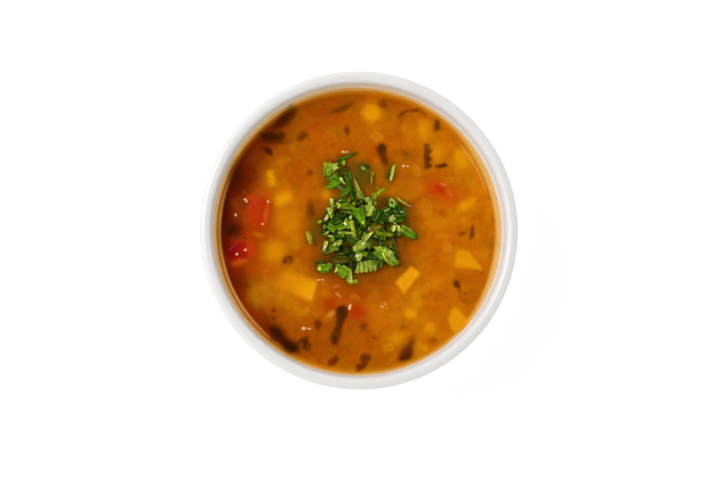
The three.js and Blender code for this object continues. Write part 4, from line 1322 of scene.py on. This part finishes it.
def make_coriander(dal):
    core = herb_core()
    pile = HerbPile(core)
    chance = random.Random(5)
    rows = [(tone, row) for tone, bits in CORIANDER.items() for row in bits]
    # An olive wash on the dal round each bit: partly leaf juice, partly the heap's painted shadow.
    for _, (x, y, length, width, turn, _) in rows:
        dal.wash(TINTS["olive"], 0.22 * dal.patch(x, y, length + 4, width + 4, turn, 0.7))
    places = [row[:2] for _, row in rows if -16 < row[0] < 19 and row[1] < 18]

    def near_others(spread):
        x, y = chance.choice(places)
        return x + chance.gauss(0, spread), y + chance.gauss(0, spread)

    def within_heap():
        a, reach = chance.uniform(0, 6.3), math.sqrt(chance.random())
        x = FILL_MIDDLE[0] + FILL_REACH[0] * reach * math.cos(a)
        return x, FILL_MIDDLE[1] + FILL_REACH[1] * reach * math.sin(a)

    def strew(length, width, form, tone, place, tilt, press):
        """Lays a bit at a chance place outside the gaps."""
        x, y = place()
        while any(math.hypot(x - gap_x, y - gap_y) < reach for gap_x, gap_y, reach in GAPS):
            x, y = place()
        bit = leaf_bit(chance, length, width, form, shaded(tone, x, y))
        pile.lay(bit, x, y, chance.uniform(0, 360), leaning(chance, tilt), press)

    for _ in range(FILL_COUNT):
        # The fill bits lie under the others and are made darker by 0.6, as painted shade inside the heap.
        tone = tuple(0.6 * c for c in varied(chance, TONES[chance.choice(FILL_TONES)], 0.25))
        length = chance.uniform(4, 8.5) * MM
        form = chance.choice(("cut", "lobe"))
        strew(length, length * chance.uniform(0.35, 0.8), form, tone, within_heap, 0.2, 0.7)
    rows.sort(key=lambda row: row[1][5] == "wedge")
    for tone, (x, y, length, width, turn, form) in rows:
        grown = 1.16 if length > 3 else 1.0
        tint = varied(chance, TONES["lime" if tone == "pale" and length < 2.2 else tone], 0.18)
        bit = leaf_bit(chance, grown * length * MM, grown * width * MM, form, shaded(tint, x, y))
        pile.lay(bit, x, y, turn, leaning(chance, 0.2))
    for x, y, length, thickness, turn, tone in STEMS:
        bit = stem_bit(chance, length * MM, thickness * MM, varied(chance, TONES[tone], 0.08))
        pile.lay(bit, x, y, turn, leaning(chance, 0.03))
    for _ in range(SHRED_COUNT):
        tone = varied(chance, TONES[chance.choice(("pale", "leaf", "lime", "deep", "leaf"))], 0.2)
        length = chance.uniform(0.9, 2.2) * MM
        strew(length, length * chance.uniform(0.35, 0.8), "cut", tone, lambda: near_others(2.0), 0.3, 0.8)
    # Specks in the mint tone: painted glints strewn near the bits.
    for _ in range(SPECK_COUNT):
        tone = varied(chance, TONES["dewy"], 0.25)
        length = chance.uniform(0.5, 1.1) * MM
        strew(length, 0.5 * length, "cut", tone, lambda: near_others(2.0), 0.3, 0.8)
    for tone, x, y, length, width, turn in TIPS:
        tint = varied(chance, TONES[tone], 0.1)
        if tone == "deep":
            tint = shaded(tint, x, y)
        bit = leaf_bit(chance, length * MM, width * MM, "cut", tint)
        pile.lay(bit, x, y, turn, leaning(chance, 0.1))
    heap = joined(pile.meshes, "coriander")
    for vert in heap.vertices:
        vert.co.z = min(vert.co.z, LEVEL + (vert.co.z - LEVEL) * SETTLED)
    piece("coriander", heap, chopped_coriander(), ["herb_heap"])
    piece("coriander_core", core, minced_coriander())


def make_bowl():
    mesh = spun(bowl_profile(), BOWL_STEPS, "bowl")
    piece("bowl", mesh, glazed_porcelain(), ["bowl"])


def make_dal():
    dal = DalMap()
    broth_ground(dal)
    soaked = {}
    for make in (make_lentils, make_tomatoes, make_celery, make_dice):
        soaked.update(make(dal))
    dal_rim(dal)
    soaked.update(make_dark_leaves(dal))
    for colour, x, y, length, width, turn, soft, strength in MARKS:
        dal.wash(seen(*colour), strength * dal.patch(x, y, length, width, turn, soft))
    make_coriander(dal)
    soaked.update(make_bubbles())
    for name, (mesh, finish, slot, replaced) in soaked.items():
        dal.soak(mesh)
        piece(name, mesh, finish, replaced)
    piece("dal", dal_mesh(dal), dal_broth(), ["dal"])


# The studio

# Where the photograph's middle lies at the rim's height, how the camera leans from straight down, and to
# which side.
AIM = Vector((0.26 * MM, -4.66 * MM, BOWL_HEIGHT - LIP_THICKNESS / 2))
CAMERA_DISTANCE = 0.75
CAMERA_LEAN = 6
CAMERA_SIDE = 227
LENS = 85.7
SENSOR = 36


def add_camera():
    lean, side = math.radians(CAMERA_LEAN), math.radians(CAMERA_SIDE)
    back = Vector((math.sin(lean) * math.cos(side), math.sin(lean) * math.sin(side), math.cos(lean)))
    data = bpy.data.cameras.new("camera")
    data.lens = LENS
    data.sensor_width = SENSOR
    camera = placed("camera", data)
    right = Vector((0, 1, 0)).cross(back).normalized()
    up = back.cross(right)
    turned = Matrix((right, up, back)).transposed().to_4x4()
    camera.matrix_world = Matrix.Translation(AIM + back * CAMERA_DISTANCE) @ turned
    bpy.context.scene.camera = camera


def add_lamp(name, side, height, distance, length, width, brightness):
    """A soft lamp that faces the bowl, from a side in degrees from +X and a height over the floor in
    degrees. Brightness is how bright it alone makes a level white surface, from 0 to 1."""
    a, e = math.radians(side), math.radians(height)
    away = Vector((math.cos(a) * math.cos(e), math.sin(a) * math.cos(e), math.sin(e)))
    data = bpy.data.lights.new(name, "AREA")
    data.shape = "RECTANGLE"
    data.size = length
    data.size_y = width
    data.energy = brightness * (math.pi * distance) ** 2 / math.sin(e)
    lamp = placed(name, data)
    lamp.location = Vector((0, 0, LEVEL)) + away * distance
    lamp.rotation_euler = away.to_track_quat("Z", "Y").to_euler()


# How bright the room is, by how far up one looks: 0 at the horizon, 1 straight up.
ROOM = [(0.0, 0.6), (0.45, 1.0), (0.76, 1.0), (0.93, 0.01)]


def add_surroundings():
    """A pale room that is dark overhead, so that the dal doesn't mirror white."""
    world = bpy.data.worlds.new("room")
    bpy.context.scene.world = world
    world.use_nodes = True
    tree = world.node_tree
    place = tree.nodes.new("ShaderNodeTexCoord")
    parts = tree.nodes.new("ShaderNodeSeparateXYZ")
    ramp = tree.nodes.new("ShaderNodeValToRGB")
    ramp.color_ramp.interpolation = "EASE"
    for i, (up, bright) in enumerate(ROOM):
        stop = ramp.color_ramp.elements[0] if i == 0 else ramp.color_ramp.elements.new(up)
        stop.color = (bright, bright, bright, 1)
    ramp.color_ramp.elements.remove(ramp.color_ramp.elements[-1])
    tree.links.new(place.outputs["Generated"], parts.inputs[0])
    tree.links.new(parts.outputs["Z"], ramp.inputs["Fac"])
    tree.links.new(ramp.outputs["Color"], tree.nodes["Background"].inputs["Color"])


# From where to where, from the bowl's axis, the floor's glow sets in; nearer the axis the floor lacks it and
# is darker, a painted shadow.
GLOW_START = 34 * MM
GLOW_FULL = 66 * MM


def add_floor():
    """A pale floor that glows faintly, which pales its shadows and keeps it evenly bright. Its glow fades
    out under the bowl, so that the bowl's own shadow shows, deepened by the missing glow as a painted
    shadow.
    """
    bm = bmesh.new()
    bmesh.ops.create_grid(bm, x_segments=1, y_segments=1, size=4.0)
    mesh = mesh_of(bm, "floor")
    finish = Finish("pale_floor", Roughness=0.9, Specular_IOR_Level=0.0, Emission_Strength=0.7)
    pale = finish.mix((0.43, 0.43, 0.43), (0.41, 0.41, 0.41), finish.noise(0.3, 2.0))
    reach = finish.vector("LENGTH", finish.place)
    glow = finish.mix((0.2, 0.2, 0.2), (1, 1, 1), reach.rise(GLOW_START, GLOW_FULL))
    mesh.materials.append(finish.finished(Base_Color=pale, Emission_Color=glow))
    floor = placed("floor", mesh)


def add_studio():
    scene = bpy.context.scene
    scene.view_settings.view_transform = "Standard"
    add_camera()
    add_floor()
    add_surroundings()
    add_lamp("key", side=160, height=53, distance=1.1, length=0.5, width=0.45, brightness=0.3)


make_bowl()
make_dal()
add_studio()
